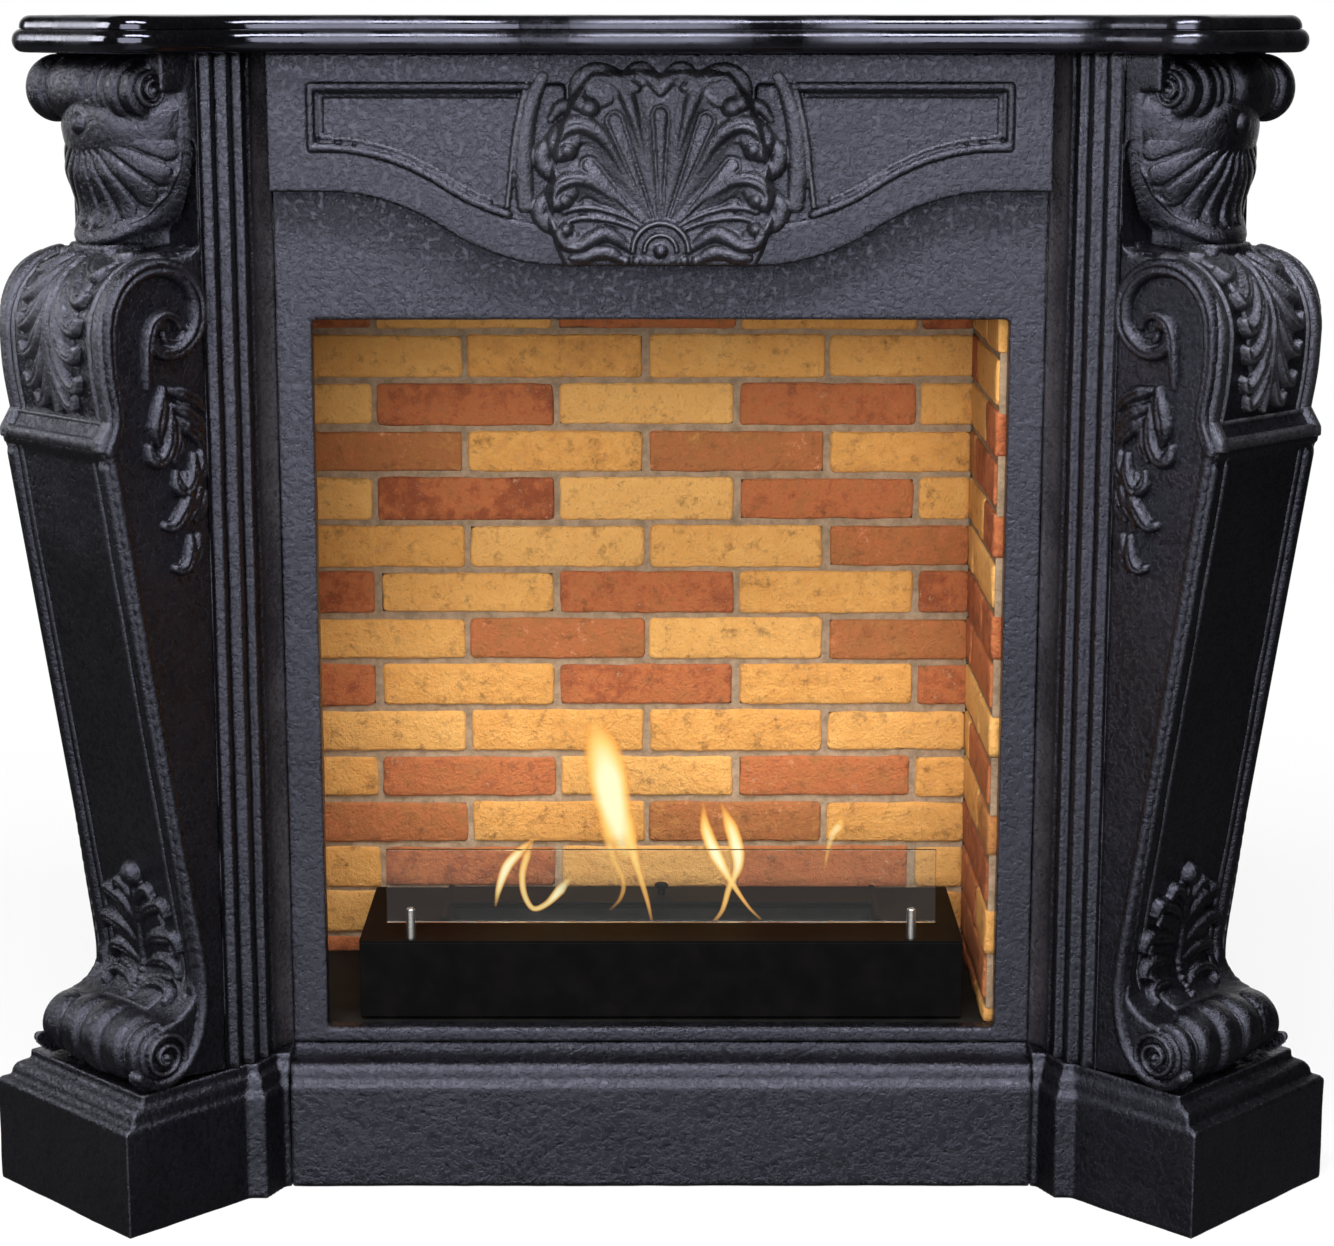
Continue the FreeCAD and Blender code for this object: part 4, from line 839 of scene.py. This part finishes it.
acanthus = {
    "span": ((-83, 83), (0, 217)), "step": 1.3, "slim": 1.14, "skip": 5,
    "groove": ((1.1, 1.7, 1.1), (1.0, 2.6, 1.2)), "stem": [(0, 0), (0, 60), (0, 120), (0, 178)],
    "edges": ((75, 8.0, 5.0, 999), (61, 2.6, 2.6, 190)),  # line, half-width, height, end
    "bars": ((190, 2.4, 2.6), (211, 6.5, 4.2)), "barReach": 70,
    "widths": (60, 54, 50, 47, 42, 26, 6), "heights": (4.5, 5, 5, 5, 5, 4.5, 3),
}
leafLobes = [  # one half of the leaf, from the stem outwards
    ([(24, 0), (36, 12), (50, 22), (58, 17)], (6, 8, 8, 5), (6, 8, 9, 7)),
    ([(10, 0), (18, 22), (32, 42), (48, 53), (55, 46)], (5, 7, 9, 9, 5.5), (6, 8, 10, 10, 8)),
    ([(8, 22), (16, 48), (32, 71), (47, 81), (53, 74)], (5, 7, 9, 8.5, 5), (6, 8, 10, 11, 9)),
    ([(7, 50), (15, 76), (30, 98), (46, 106), (52, 98)], (5, 7, 9, 8.5, 5), (6, 8, 10, 11, 9)),
    ([(6, 80), (14, 104), (27, 124), (42, 131), (48, 123)], (4.5, 7, 8.5, 8, 5), (6, 8, 10, 11, 9)),
    ([(5, 108), (13, 132), (26, 152), (40, 159), (46, 151)], (4, 6.5, 8, 7.5, 4.5), (6, 8, 10, 10, 8)),
    ([(4, 136), (10, 158), (20, 173), (30, 177), (34, 169)], (4, 6, 7, 6, 4), (6, 8, 9, 9, 7)),
    ([(0, 0), (0, 90), (0, 160), (0, 182)], (6.5, 6, 7.5, 3.5), (9, 9, 10, 7)),
]


def acanthusRise(u, v):
    x = np.abs(u)
    fade = smooth(v / 8)
    leaf = x * acanthus["slim"]
    stem = np.array(acanthus["stem"], float)
    height = np.maximum(ridge(leaf, v, stem, acanthus["widths"], acanthus["heights"], 0.3), -3.0)
    for line, width, tall, end in acanthus["edges"]:
        height = np.maximum(height, np.where(v < end, bead(x, line, width, tall, fade), -3))
    for bar, width, tall in acanthus["bars"]:
        height = np.maximum(height, np.where(x < acanthus["barReach"], bead(v, bar, width, tall), -3))
    return leaves(height, leaf, v, leafLobes, acanthus["skip"], acanthus["groove"])


bothSides("acanthus", carvedPlate(acanthus, acanthusRise, frontFace))

for name in ("shell_cartouche", "right_acanthus", "left_acanthus"):
    bpy.data.objects[name].data.materials[0] = finishes["painted_light_stone"]  # these carved parts take a lighter, shinier copy of the stone: its lighter colour is painted light

shaftRims = {"span": ((-83, 83), (226, runAt(215))), "step": 2.0, "startRun": 10, "endRun": 12,
             "rim": (74.5, 8.5, 4.4), "fillet": (59, 3, 1.7)}


def shaftRise(u, v):
    x = np.abs(u)
    start, end = shaftRims["span"][1]
    fade = smooth((v - start) / shaftRims["startRun"]) * smooth((end - v) / shaftRims["endRun"])
    return np.maximum(bead(x, *shaftRims["rim"], fade, 0.7), bead(x, *shaftRims["fillet"], fade))


bothSides("shaft_rims", carvedPlate(shaftRims, shaftRise, frontFace, cut=-2))

footLeaf = {"span": ((-70, 70), (runAt(345), runAt(198))), "step": 1.3, "stem": (318, 268, 204), "skip": 6,
            "widths": (14, 34, 46, 44, 38), "heights": (3, 5, 5.5, 5.5, 4.5),
            "tip": (326, 14, 13), "seeds": (202, 208, 216, 225)}
footLobes = [  # half-width and level on the shaft, from the stem outwards
    ([(4, 298), (13, 309), (23, 315), (28, 308)], (4.5, 7, 7.5, 5), (6, 9, 10, 8)),
    ([(4, 278), (18, 292), (33, 300), (45, 303), (49, 294)], (4.5, 7.5, 9, 8, 5.5), (6, 9, 10, 11, 9)),
    ([(4, 252), (22, 264), (41, 270), (56, 271), (61, 261)], (4.5, 8, 10, 9, 6), (6, 9, 11, 11, 9)),
    ([(5, 232), (20, 240), (38, 244), (50, 241), (54, 231)], (4.5, 8, 9.5, 8.5, 5.5), (6, 9, 11, 11, 9)),
    ([(6, 208), (20, 216), (36, 219), (48, 214), (50, 206)], (4.5, 8, 9, 8, 5.5), (6, 9, 10, 10, 8)),
    ([(0, 232), (0, 270), (0, 314)], (6, 5.5, 4.5), (9.5, 8.5, 7)),
]


def footRise(u, v):
    x = np.abs(u)
    stem = np.array([(0, runAt(level)) for level in footLeaf["stem"]])
    height = np.maximum(ridge(x, v, stem, footLeaf["widths"], footLeaf["heights"], 0.3), -3.0)
    lobes = [([(a, runAt(z)) for a, z in points], *sizes) for points, *sizes in footLobes]
    height = leaves(height, x, v, lobes, footLeaf["skip"], acanthus["groove"])
    level, radius, tall = footLeaf["tip"]
    height = np.maximum(height, dome(x, v, (0, runAt(level)), radius, tall))
    for level in footLeaf["seeds"]:
        height = np.maximum(height, dome(x, v, (0, runAt(level)), 6, 9))
    return height


bothSides("foot_leaf", carvedPlate(footLeaf, footRise, frontFace, rounds=2))


# sides of the console: u outwards, v the height above the floor
def sideFace(along, way):
    def place(u, v):
        return consolePoint(np.full(u.shape, along), u, v), np.tile(alongAxis * way, (len(u), 1))
    return place


volute = {"step": 1.35, "fuller": 1.22, "span": ((1, 116), (618, 924)), "skip": 4,
          "widths": (7, 7, 7, 7.5, 8.5, 9.5, 10, 9, 7, 5), "heights": (5, 6, 6, 7, 8, 9, 10, 10, 10, 9),
          "channel": ((1.4, 1.8, 2.4, 2.2, 1.4), (0.8, 1.4, 2.6, 2.2, 0.8)),
          "groove": ((1.0, 1.6, 1.0), (1.0, 2.6, 1.0))}
scrollBand = [(107, 752), (97, 780), (102, 815), (104, 852), (100, 880), (86, 902), (64, 914), (40, 914),
              (21, 904), (10, 888), (8, 869), (13, 853), (27, 840), (42, 836), (56, 841), (62, 851),
              (58, 861), (48, 864)]
husks = [  # scroll stem and coil, then a garland of paired leaves
    ([(66, 808), (66, 832), (64, 853), (58, 866), (46, 872), (34, 868), (29, 860)],
     (4, 5, 5.5, 5.5, 5, 4, 3), (5, 8, 9, 10, 10, 9, 7)),
    ([(48, 862), (46, 851), (36, 846), (26, 850), (24, 859)], (3, 3.4, 3.6, 3.4, 3), (6, 7, 7, 7, 6)),
    ([(50, 804), (54, 787), (58, 767), (56, 755)], (4, 8, 8.5, 4), (6, 10, 10, 6)),
    ([(44, 803), (28, 799), (13, 791), (5, 782)], (3.5, 7, 6.5, 3), (5, 9, 8, 4)),
    ([(40, 788), (23, 780), (10, 769), (5, 759)], (3.5, 7, 6.5, 3), (5, 9, 8, 4)),
    ([(38, 774), (22, 765), (11, 755), (8, 745)], (3.5, 6.5, 6, 3), (5, 8, 8, 4)),
    ([(42, 786), (43, 768), (45, 752), (54, 739), (64, 741), (67, 752)],
     (4, 6, 6.5, 7, 6.5, 4), (6, 9, 10, 10, 10, 7)),
    ([(34, 764), (34, 750), (39, 738)], (4, 6, 4), (6, 9, 6)),
    ([(18, 740), (19, 722), (27, 709), (37, 713), (38, 726)], (4, 6, 6.5, 6, 4), (6, 9, 10, 9, 6)),
    ([(9, 740), (8, 726), (13, 714)], (4, 5.5, 3.5), (6, 8, 5)),
    ([(28, 724), (30, 704), (34, 692)], (3, 4.5, 3), (5, 8, 5)),
    ([(20, 708), (30, 692), (42, 677), (52, 678)], (4, 6.5, 7, 4.5), (6, 10, 10, 7)),
    ([(12, 708), (20, 692), (30, 677)], (4, 6, 4), (6, 9, 6)),
    ([(6, 704), (10, 690), (16, 680)], (3.5, 5, 3.5), (5, 8, 5)),
    ([(24, 664), (26, 646), (33, 635), (42, 637)], (4, 6, 6.5, 4), (6, 9, 10, 7)),
    ([(15, 664), (17, 646), (23, 633)], (4, 5.5, 3.5), (6, 8, 5)),
]


def voluteRise(u, v):
    band = curvePath(scrollBand)
    height = ridge(u, v, band, volute["widths"], volute["heights"], 0.4)
    height -= furrow(u, v, band, *volute["channel"])
    return leaves(height, u, v, husks, volute["skip"], volute["groove"], volute["fuller"])


sideEdge = {"step": 2.0, "span": ((14, 116), (136, 752)), "widths": (6, 6, 6, 6, 6, 7, 7, 6),
            "heights": (3.6, 3.6, 3.6, 3.6, 4, 7, 8, 6)}
edgeLine = [(108, 752), (104, 741), (78, 577), (52, 414), (36, 310), (28, 258), (25, 225), (28, 195),
            (36, 170), (50, 151), (68, 142), (88, 143), (103, 154)]


def sideEdgeRise(u, v):
    return ridge(u, v, curvePath(edgeLine), sideEdge["widths"], sideEdge["heights"])


for side, along, way in (("inner", 0, -1), ("outer", splay["width"], 1)):
    face = sideFace(along, way)
    bothSides(side + "_volute", carvedPlate(volute, voluteRise, face, rounds=2))
    bothSides(side + "_edge", carvedPlate(sideEdge, sideEdgeRise, face))


# lobed rolls: a profile of swelling lobes spun about the roll's axis, with a spiral on each end
topRoll = {"start": 16.0, "length": 160.0, "eye": 19.0, "lobes": (  # start, end and size of each
    (0.0, 0.09, 0.74), (0.09, 0.21, 0.93), (0.21, 0.29, 0.90), (0.29, 0.37, 0.93), (0.37, 0.41, 0.84),
    (0.41, 0.80, 1.0), (0.80, 0.84, 0.86), (0.84, 1.0, 0.95))}
footRoll = {"start": 0.0, "length": 166.0, "eye": 24.0, "lobes": (
    (0.0, 0.05, 0.82), (0.05, 0.15, 0.98), (0.15, 0.19, 0.88), (0.19, 0.39, 1.06), (0.39, 0.59, 1.12),
    (0.59, 0.62, 0.96), (0.62, 0.80, 1.05), (0.80, 1.0, 0.97))}
rollCut = {"valley": 0.82, "wear": 0.9, "turns": 56}
rollEye = {"step": 1.2, "margin": 5, "turns": (200, -560), "end": 3, "knob": (5, 8),
           "widths": (3.6, 3.2, 2.6), "heights": (5, 6, 7)}


def lobedRoll(how, part):
    bm = bmesh.new()
    line = [(0.0, 0.0)]
    for start, end, peak in how["lobes"]:
        valley = rollCut["valley"] * peak
        for share in np.linspace(0, 1, 9):
            swell = valley + (peak - valley) * math.sqrt(max(0, 1 - (2 * share - 1) ** 2))
            line.append((start + (end - start) * share, swell * part["radius"]))
    line.append((1.0, 0.0))
    axis = consolePoint(how["start"], part["out"], part["height"])
    spots = [consolePoint(how["start"] + how["length"] * x, part["out"], part["height"] + r) for x, r in line]
    verts = [bm.verts.new(spot) for spot in spots]
    edges = [bm.edges.new(pair) for pair in zip(verts, verts[1:])]
    bmesh.ops.spin(bm, geom=verts + edges, cent=axis, axis=alongAxis, angle=2 * math.pi,
                   steps=rollCut["turns"], use_merge=True)
    bmesh.ops.remove_doubles(bm, verts=bm.verts, dist=2e-5)
    bmesh.ops.recalc_face_normals(bm, faces=bm.faces)
    for v in bm.verts:
        v.co += v.normal * noise.noise(v.co * 40) * rollCut["wear"] * mm
    return bm


def rollEnd(how, part, along, way):
    centre = (part["out"], part["height"])

    def rise(u, v):
        path = spiralPath(centre, (how["eye"], rollEye["end"]), rollEye["turns"], 80)
        height = ridge(u, v, path, rollEye["widths"], rollEye["heights"])
        return np.maximum(height, dome(u, v, centre, *rollEye["knob"]))

    reach = how["eye"] + rollEye["margin"]
    span = [(middle - reach, middle + reach) for middle in centre]
    return carvedPlate({**rollEye, "span": span}, rise, sideFace(along, way))


for name, how, part in (("top_roll", topRoll, roll), ("foot_roll", footRoll, foot)):
    bothSides(name, lobedRoll(how, part))
    bothSides(name + "_inner_eye", rollEnd(how, part, how["start"], -1))
    bothSides(name + "_outer_eye", rollEnd(how, part, how["start"] + how["length"], 1))


# brick slips: every plain block becomes a worn brick with its own firing
slips = {"corner": (3.0, 7.0), "rim": 3.0, "grow": 1.3, "uneven": 1.3, "cell": 13.0, "wear": 1.3}
fires = {"shade": (-0.07, 0.1), "redShare": 0.4, "sideRed": 0.85, "sideOthers": (0.1, 0.1, 0.5),
         "red": 0.80, "ochre": 0.12, "tan": 0.6, "topTan": 0.30,
         "tanSlips": {1: (1,), 3: (0, 2), 5: (3,), 7: (1, 3), 11: (0, 2)}}  # course from the top: places
rng = random.Random(7)


def bevelled(bm, edges, offset, segments, clamp=False):
    bmesh.ops.bevel(bm, geom=edges, offset=offset, segments=segments, profile=0.5, affect="EDGES",
                    material=-1, clamp_overlap=clamp)


def islands(bm):
    left = set(bm.verts)
    while left:
        group, queue = set(), [left.pop()]
        while queue:
            v = queue.pop()
            group.add(v)
            for e in v.link_edges:
                w = e.other_vert(v)
                if w in left:
                    left.discard(w)
                    queue.append(w)
        co = np.array([v.co for v in group])
        yield co.min(0), co.max(0)


def firing(wall, course, place):
    shade = rng.uniform(*fires["shade"])
    if wall != "back":
        red = rng.random() < fires["redShare"]
        return shade + (fires["sideRed"] if red else rng.choice(fires["sideOthers"]))
    if course % 2 == 0:
        red = place % 2 == (1 if (course - 2) // 4 % 2 == 0 else 0)
        return shade + (fires["red"] if red else fires["ochre"])
    tan = fires["topTan"] if course == 1 else fires["tan"]
    return shade + (tan if place in fires["tanSlips"].get(course, ()) else fires["ochre"])


def wornBrick(low, high, across, deep, face):
    # a block that swells over its joints, with round corners and an uneven face
    low, high = low.copy(), high.copy()
    for axis in (across, 2):
        low[axis] -= (slips["grow"] + rng.uniform(-1, 1) * slips["uneven"]) * mm
        high[axis] += (slips["grow"] + rng.uniform(-1, 1) * slips["uneven"]) * mm
    size = high - low
    bm = bmesh.new()
    bmesh.ops.create_cube(bm, size=1)
    bmesh.ops.scale(bm, vec=Vector(size), verts=bm.verts)
    bmesh.ops.translate(bm, vec=Vector((low + high) / 2), verts=bm.verts)
    posts = [e for e in bm.edges if abs((e.verts[0].co - e.verts[1].co)[deep]) > 0.5 * size[deep]]
    bevelled(bm, posts, min(rng.uniform(*slips["corner"]) * mm, 0.4 * size[across]), 3)
    plane = high[deep] if face > 0 else low[deep]
    rims = [e for e in bm.edges if all(abs(v.co[deep] - plane) < 1e-6 for v in e.verts)]
    bevelled(bm, rims, slips["rim"] * mm, 2)
    for axis in (across, 2):
        normal = Vector((axis == 0, axis == 1, axis == 2))
        cuts = max(2, round(size[axis] / (slips["cell"] * mm)))
        for i in range(1, cuts):
            spot = Vector(low)
            spot[axis] = low[axis] + size[axis] * i / cuts
            geom = bm.verts[:] + bm.edges[:] + bm.faces[:]
            bmesh.ops.bisect_plane(bm, geom=geom, plane_co=spot, plane_no=normal)
    seed = Vector((rng.uniform(0, 50), rng.uniform(0, 50), rng.uniform(0, 50)))
    bm.normal_update()
    for v in bm.verts:
        if abs(v.co[deep] - plane) < 6 * mm:
            rough = noise.noise(v.co * 38 + seed) + 0.5 * noise.noise(v.co * 90 + seed)
            v.co += v.normal * rough * slips["wear"] * mm
    return bm


def wornBricks(node):
    wall = node.split("_")[0]
    across, deep = (0, 1) if wall == "back" else (1, 0)
    face = 1 if wall == "left" else -1
    source = mergedCopy(node)
    blocks = sorted(islands(source), key=lambda b: (round(-b[1][2], 3), round(b[0][across], 3)))
    source.free()
    tops = sorted({round(b[1][2], 3) for b in blocks}, reverse=True)
    bm = bmesh.new()
    fired = bm.verts.layers.float.new("fired")
    counts = {}
    for low, high in blocks:
        course = tops.index(round(high[2], 3))
        place = counts.get(course, 0)
        counts[course] = place + 1
        tone = firing(wall, course, place)
        piece = wornBrick(low, high, across, deep, face)
        made = {v: bm.verts.new(v.co) for v in piece.verts}
        for v in made.values():
            v[fired] = tone
        for f in piece.faces:
            bm.faces.new([made[v] for v in f.verts])
        piece.free()
    bmesh.ops.recalc_face_normals(bm, faces=bm.faces)
    addPiece(node + "_worn", bm, "brick", replaces=[node])
    print("bricks", node, len(blocks))


for node in ("back_bricks", "left_bricks", "right_bricks"):
    wornBricks(node)


# sheet-metal and glass pieces get rounded edges
softEdges = {"burner_housing": 1.4, "burner_deck": 0.8, "snuffer_lid": 0.9, "glass_pane": 0.7,
             "right_lid_rail": 0.5, "left_lid_rail": 0.5, "right_glass_post": 0.4, "left_glass_post": 0.4,
             "right_wall_bracket": 1.0, "left_wall_bracket": 1.0}
bodyOf = {"snuffer_lid": "lid", "glass_pane": "glass"}


def softCopy(node):
    bm = mergedCopy(node)
    bmesh.ops.dissolve_limit(bm, angle_limit=math.radians(0.5), verts=bm.verts, edges=bm.edges)
    sharp = [e for e in bm.edges if len(e.link_faces) == 2 and e.calc_face_angle() > 0.9]
    bevelled(bm, sharp, softEdges[node] * mm, 3, clamp=True)
    return bm


for node in softEdges:
    addPiece(node + "_soft", softCopy(node), slotOf[node], body=bodyOf.get(node, "mantel"), replaces=[node],
             sharp=12)
print("soft edges done")


# flames over the slot
flames = {
    "depth": 0.35, "foot": 0.2185, "line": 0.0659, "bright": 1.15, "sides": 24,
    "colours": [(0.0, (0.60, 0.20, 0.03)), (0.30, (0.95, 0.42, 0.08)), (0.58, (1.0, 0.66, 0.20)),
                (0.88, (1.0, 0.91, 0.56))],  # from the edge to the core
    "tongues": {  # path from foot to tip in millimetres over the slot, half-widths, strength
        "flame_main": ([(-34, 73), (-43, 102), (-51, 136), (-57, 171), (-64, 199), (-67, 215)],
                       (9, 17, 20, 22, 20, 11), 1.0),
        "flame_main_tail": ([(-9, 1), (-14, 25), (-21, 50), (-29, 78), (-36, 112)],
                            (1.3, 2.7, 4, 7, 10), 0.8),
        "flame_main_side": ([(-53, 16), (-42, 29), (-39, 47), (-50, 74), (-57, 112)],
                            (1.3, 2.7, 3.6, 6, 11), 0.55),
        "flame_left": ([(-171, 20), (-167, 40), (-159, 62), (-147, 77), (-131, 92)],
                       (1.3, 4, 5.8, 5.4, 1.3), 0.75),
        "flame_left_curl": ([(-92, 53), (-104, 38), (-118, 23), (-132, 18), (-141, 33), (-143, 54),
                             (-138, 74), (-131, 92)], (2.2, 5.8, 3.6, 3.1, 3.6, 4, 4.5, 1.3), 0.75),
        "flame_right": ([(103, 6), (89, 21), (72, 47), (57, 74), (46, 102), (43, 130)],
                        (1.3, 2.2, 4, 7.6, 6.7, 1.3), 1.0),
        "flame_right_side": ([(52, 1), (63, 16), (70, 40), (79, 64), (75, 93), (61, 131)],
                             (1.8, 3.1, 4, 8.1, 7.6, 1.3), 0.95),
        "flame_far": ([(168, 59), (171, 78), (176, 97), (183, 107), (185, 119)],
                      (1.3, 2.2, 3.6, 6.3, 1.8), 0.4),
    },
}


def flameFinish():
    made, start, put = newFinish("flame", {"Base Color": (0, 0, 0, 1), "Roughness": 1.0,
                                           "Specular IOR Level": 0.0, "Emission Strength": flames["bright"]})
    glow = start.attribute("glow")
    put("Emission Color", glow.node("ValToRGB", {"stops": flames["colours"]}, {0: glow}))
    put("Alpha", start.attribute("body"))
    return made


finishes["flame"] = flameFinish()


def flameTongue(name, points, widths, strength):
    line = curvePath(points, 7)
    run = runAlong(line)
    bm = bmesh.new()
    for label in ("glow", "body"):
        bm.verts.layers.float.new(label)
    glow, body = (bm.verts.layers.float[label] for label in ("glow", "body"))
    rings = []
    for i, (spot, share) in enumerate(zip(line, run / run[-1])):
        ahead = line[min(i + 1, len(line) - 1)] - line[max(i - 1, 0)]
        across = np.array([ahead[1], -ahead[0]]) / np.hypot(*ahead)
        half = spread(widths, share)
        swell = half / max(widths)
        fade = min(1, 0.2 + share / 0.25) * min(1, 0.3 + (1 - share) / 0.2)
        rings.append([])
        for turn in np.linspace(0, 2 * math.pi, flames["sides"], endpoint=False):
            x, z = spot + across * math.cos(turn) * half
            y = math.sin(turn) * half * flames["depth"]
            core = math.sin(turn) ** 2
            v = bm.verts.new((x * mm, flames["line"] + y * mm, flames["foot"] + z * mm))
            dying = 1 - 0.42 * smooth((share - 0.45) / 0.55)
            v[glow] = (0.15 + 0.85 * core) * (0.22 + 0.85 * swell) * dying
            v[body] = strength * core ** 0.7 * (0.35 + 0.6 * swell) * fade
            rings[-1].append(v)
    for one, two in zip(rings, rings[1:]):
        for i in range(len(one)):
            bm.faces.new((one[i - 1], one[i], two[i], two[i - 1]))
    bm.faces.new(rings[0])
    bm.faces.new(rings[-1])
    bmesh.ops.recalc_face_normals(bm, faces=bm.faces)
    obj = addPiece(name, bm, "flame")
    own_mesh(obj)


for name, shape in flames["tongues"].items():
    flameTongue(name, *shape)
print("flames lit")


# stage: pale floor, soft front light, camera as in the photograph
studio = {"floor": 0.80, "bounce": 0.05, "white": 0.8, "ambient": 0.12, "sideGlow": 0.02, "mirrored": 0.3,
          "radius": 6, "under": 0.0005}
lights = {  # place, aim, size, power
    "front_light": ((-0.6, -4.4, 1.75), (0, 0, 0.6), (5.0, 3.3), 318.0),
    "left_light": ((-3.3, 0.1, 1.9), (-0.5, -0.3, 0.75), (1.3, 1.4), 64.0),
    "top_light": ((0.2, -1.6, 3.2), (0, -0.05, 1.0), (2.6, 0.7), 155.0),
}


def stageFloor():
    made = bpy.data.materials.new("pale_floor")
    tree = emptyTree(made)
    start = Tone(tree)
    seen = start.node("LightPath", out="Is Camera Ray")
    dim = start.node("BsdfDiffuse", None, {"Color": (studio["bounce"],) * 3 + (1,)})
    pale = start.node("BsdfDiffuse", None, {"Color": (studio["floor"],) * 3 + (1,)})
    white = start.node("Emission", None, {"Color": (1, 1, 1, 1), "Strength": 1.0})
    point = start.node("TexCoord", out="Object")
    away = start.node("VectorMath", {"operation": "LENGTH"}, {0: point}, "Value")
    side = start.node("VectorMath", {"operation": "ABSOLUTE"}, {0: point})
    near = start.node("SeparateXYZ", None, {0: point}, "Y").step(-0.3, -0.7)
    ahead = near * start.node("SeparateXYZ", None, {0: side}).step(1.0, 0.6)
    shiny = start.node("LightPath", out="Is Glossy Ray") * ahead * studio["mirrored"]
    fade = away.step(0.9, 2.2) * (1 - studio["white"]) + studio["white"]
    shown = start.node("MixShader", None, {0: fade, 1: pale, 2: white})
    other = start.node("MixShader", None, {0: shiny, 1: dim, 2: white})
    both = start.node("MixShader", None, {0: seen, 1: other, 2: shown})
    output = tree.nodes.new("ShaderNodeOutputMaterial")
    tree.links.new(both.socket, output.inputs[0])
    bm = bmesh.new()
    bmesh.ops.create_circle(bm, cap_ends=True, cap_tris=False, segments=96, radius=studio["radius"])
    mesh = meshOf("floor", bm)
    mesh.materials.append(made)
    floor = placed("floor", mesh)
    floor.location.z = -studio["under"]


def stageWorld():
    world = bpy.data.worlds.new("studio")
    bpy.context.scene.world = world
    tree = emptyTree(world)
    start = Tone(tree)
    path = tree.nodes.new("ShaderNodeLightPath")
    seen = Tone(tree, path.outputs["Is Camera Ray"]) + Tone(tree, path.outputs["Is Transmission Ray"])
    shiny = Tone(tree, path.outputs["Is Glossy Ray"])
    way = start.node("SeparateXYZ", None, {0: start.node("TexCoord", out="Generated")}, "Y")
    # white behind, dim at the sides
    glow = way.step(0.6, 0.95) * (1 - studio["sideGlow"]) + studio["sideGlow"]
    lit = seen.between(shiny.between((studio["ambient"],) * 3, glow), (1, 1, 1))
    sky = start.node("Background", None, {"Color": lit, "Strength": 1.0})
    output = tree.nodes.new("ShaderNodeOutputWorld")
    tree.links.new(sky.socket, output.inputs[0])


def softbox(name, spot, aim, size, power):
    lamp = bpy.data.lights.new(name, "AREA")
    lamp.shape = "RECTANGLE"
    lamp.size, lamp.size_y = size
    lamp.energy = power
    obj = placed(name, lamp)
    obj.location = spot
    obj.rotation_euler = (Vector(aim) - Vector(spot)).to_track_quat("-Z", "Y").to_euler()


stageFloor()
stageWorld()
for name, light in lights.items():
    softbox(name, *light)

photoView = {"sensor": 36, "lens": 36 * 2989 / 1334, "spot": (0.006, -2.8971, 1.145), "down": 11.6}
camera = bpy.data.cameras.new("camera")
camera.sensor_width = photoView["sensor"]
camera.lens = photoView["lens"]
cameraObject = placed("camera", camera)
cameraObject.location = photoView["spot"]
cameraObject.rotation_euler = (math.radians(90 - photoView["down"]), 0, 0)
bpy.context.scene.camera = cameraObject
bpy.context.scene.view_settings.view_transform = "Standard"
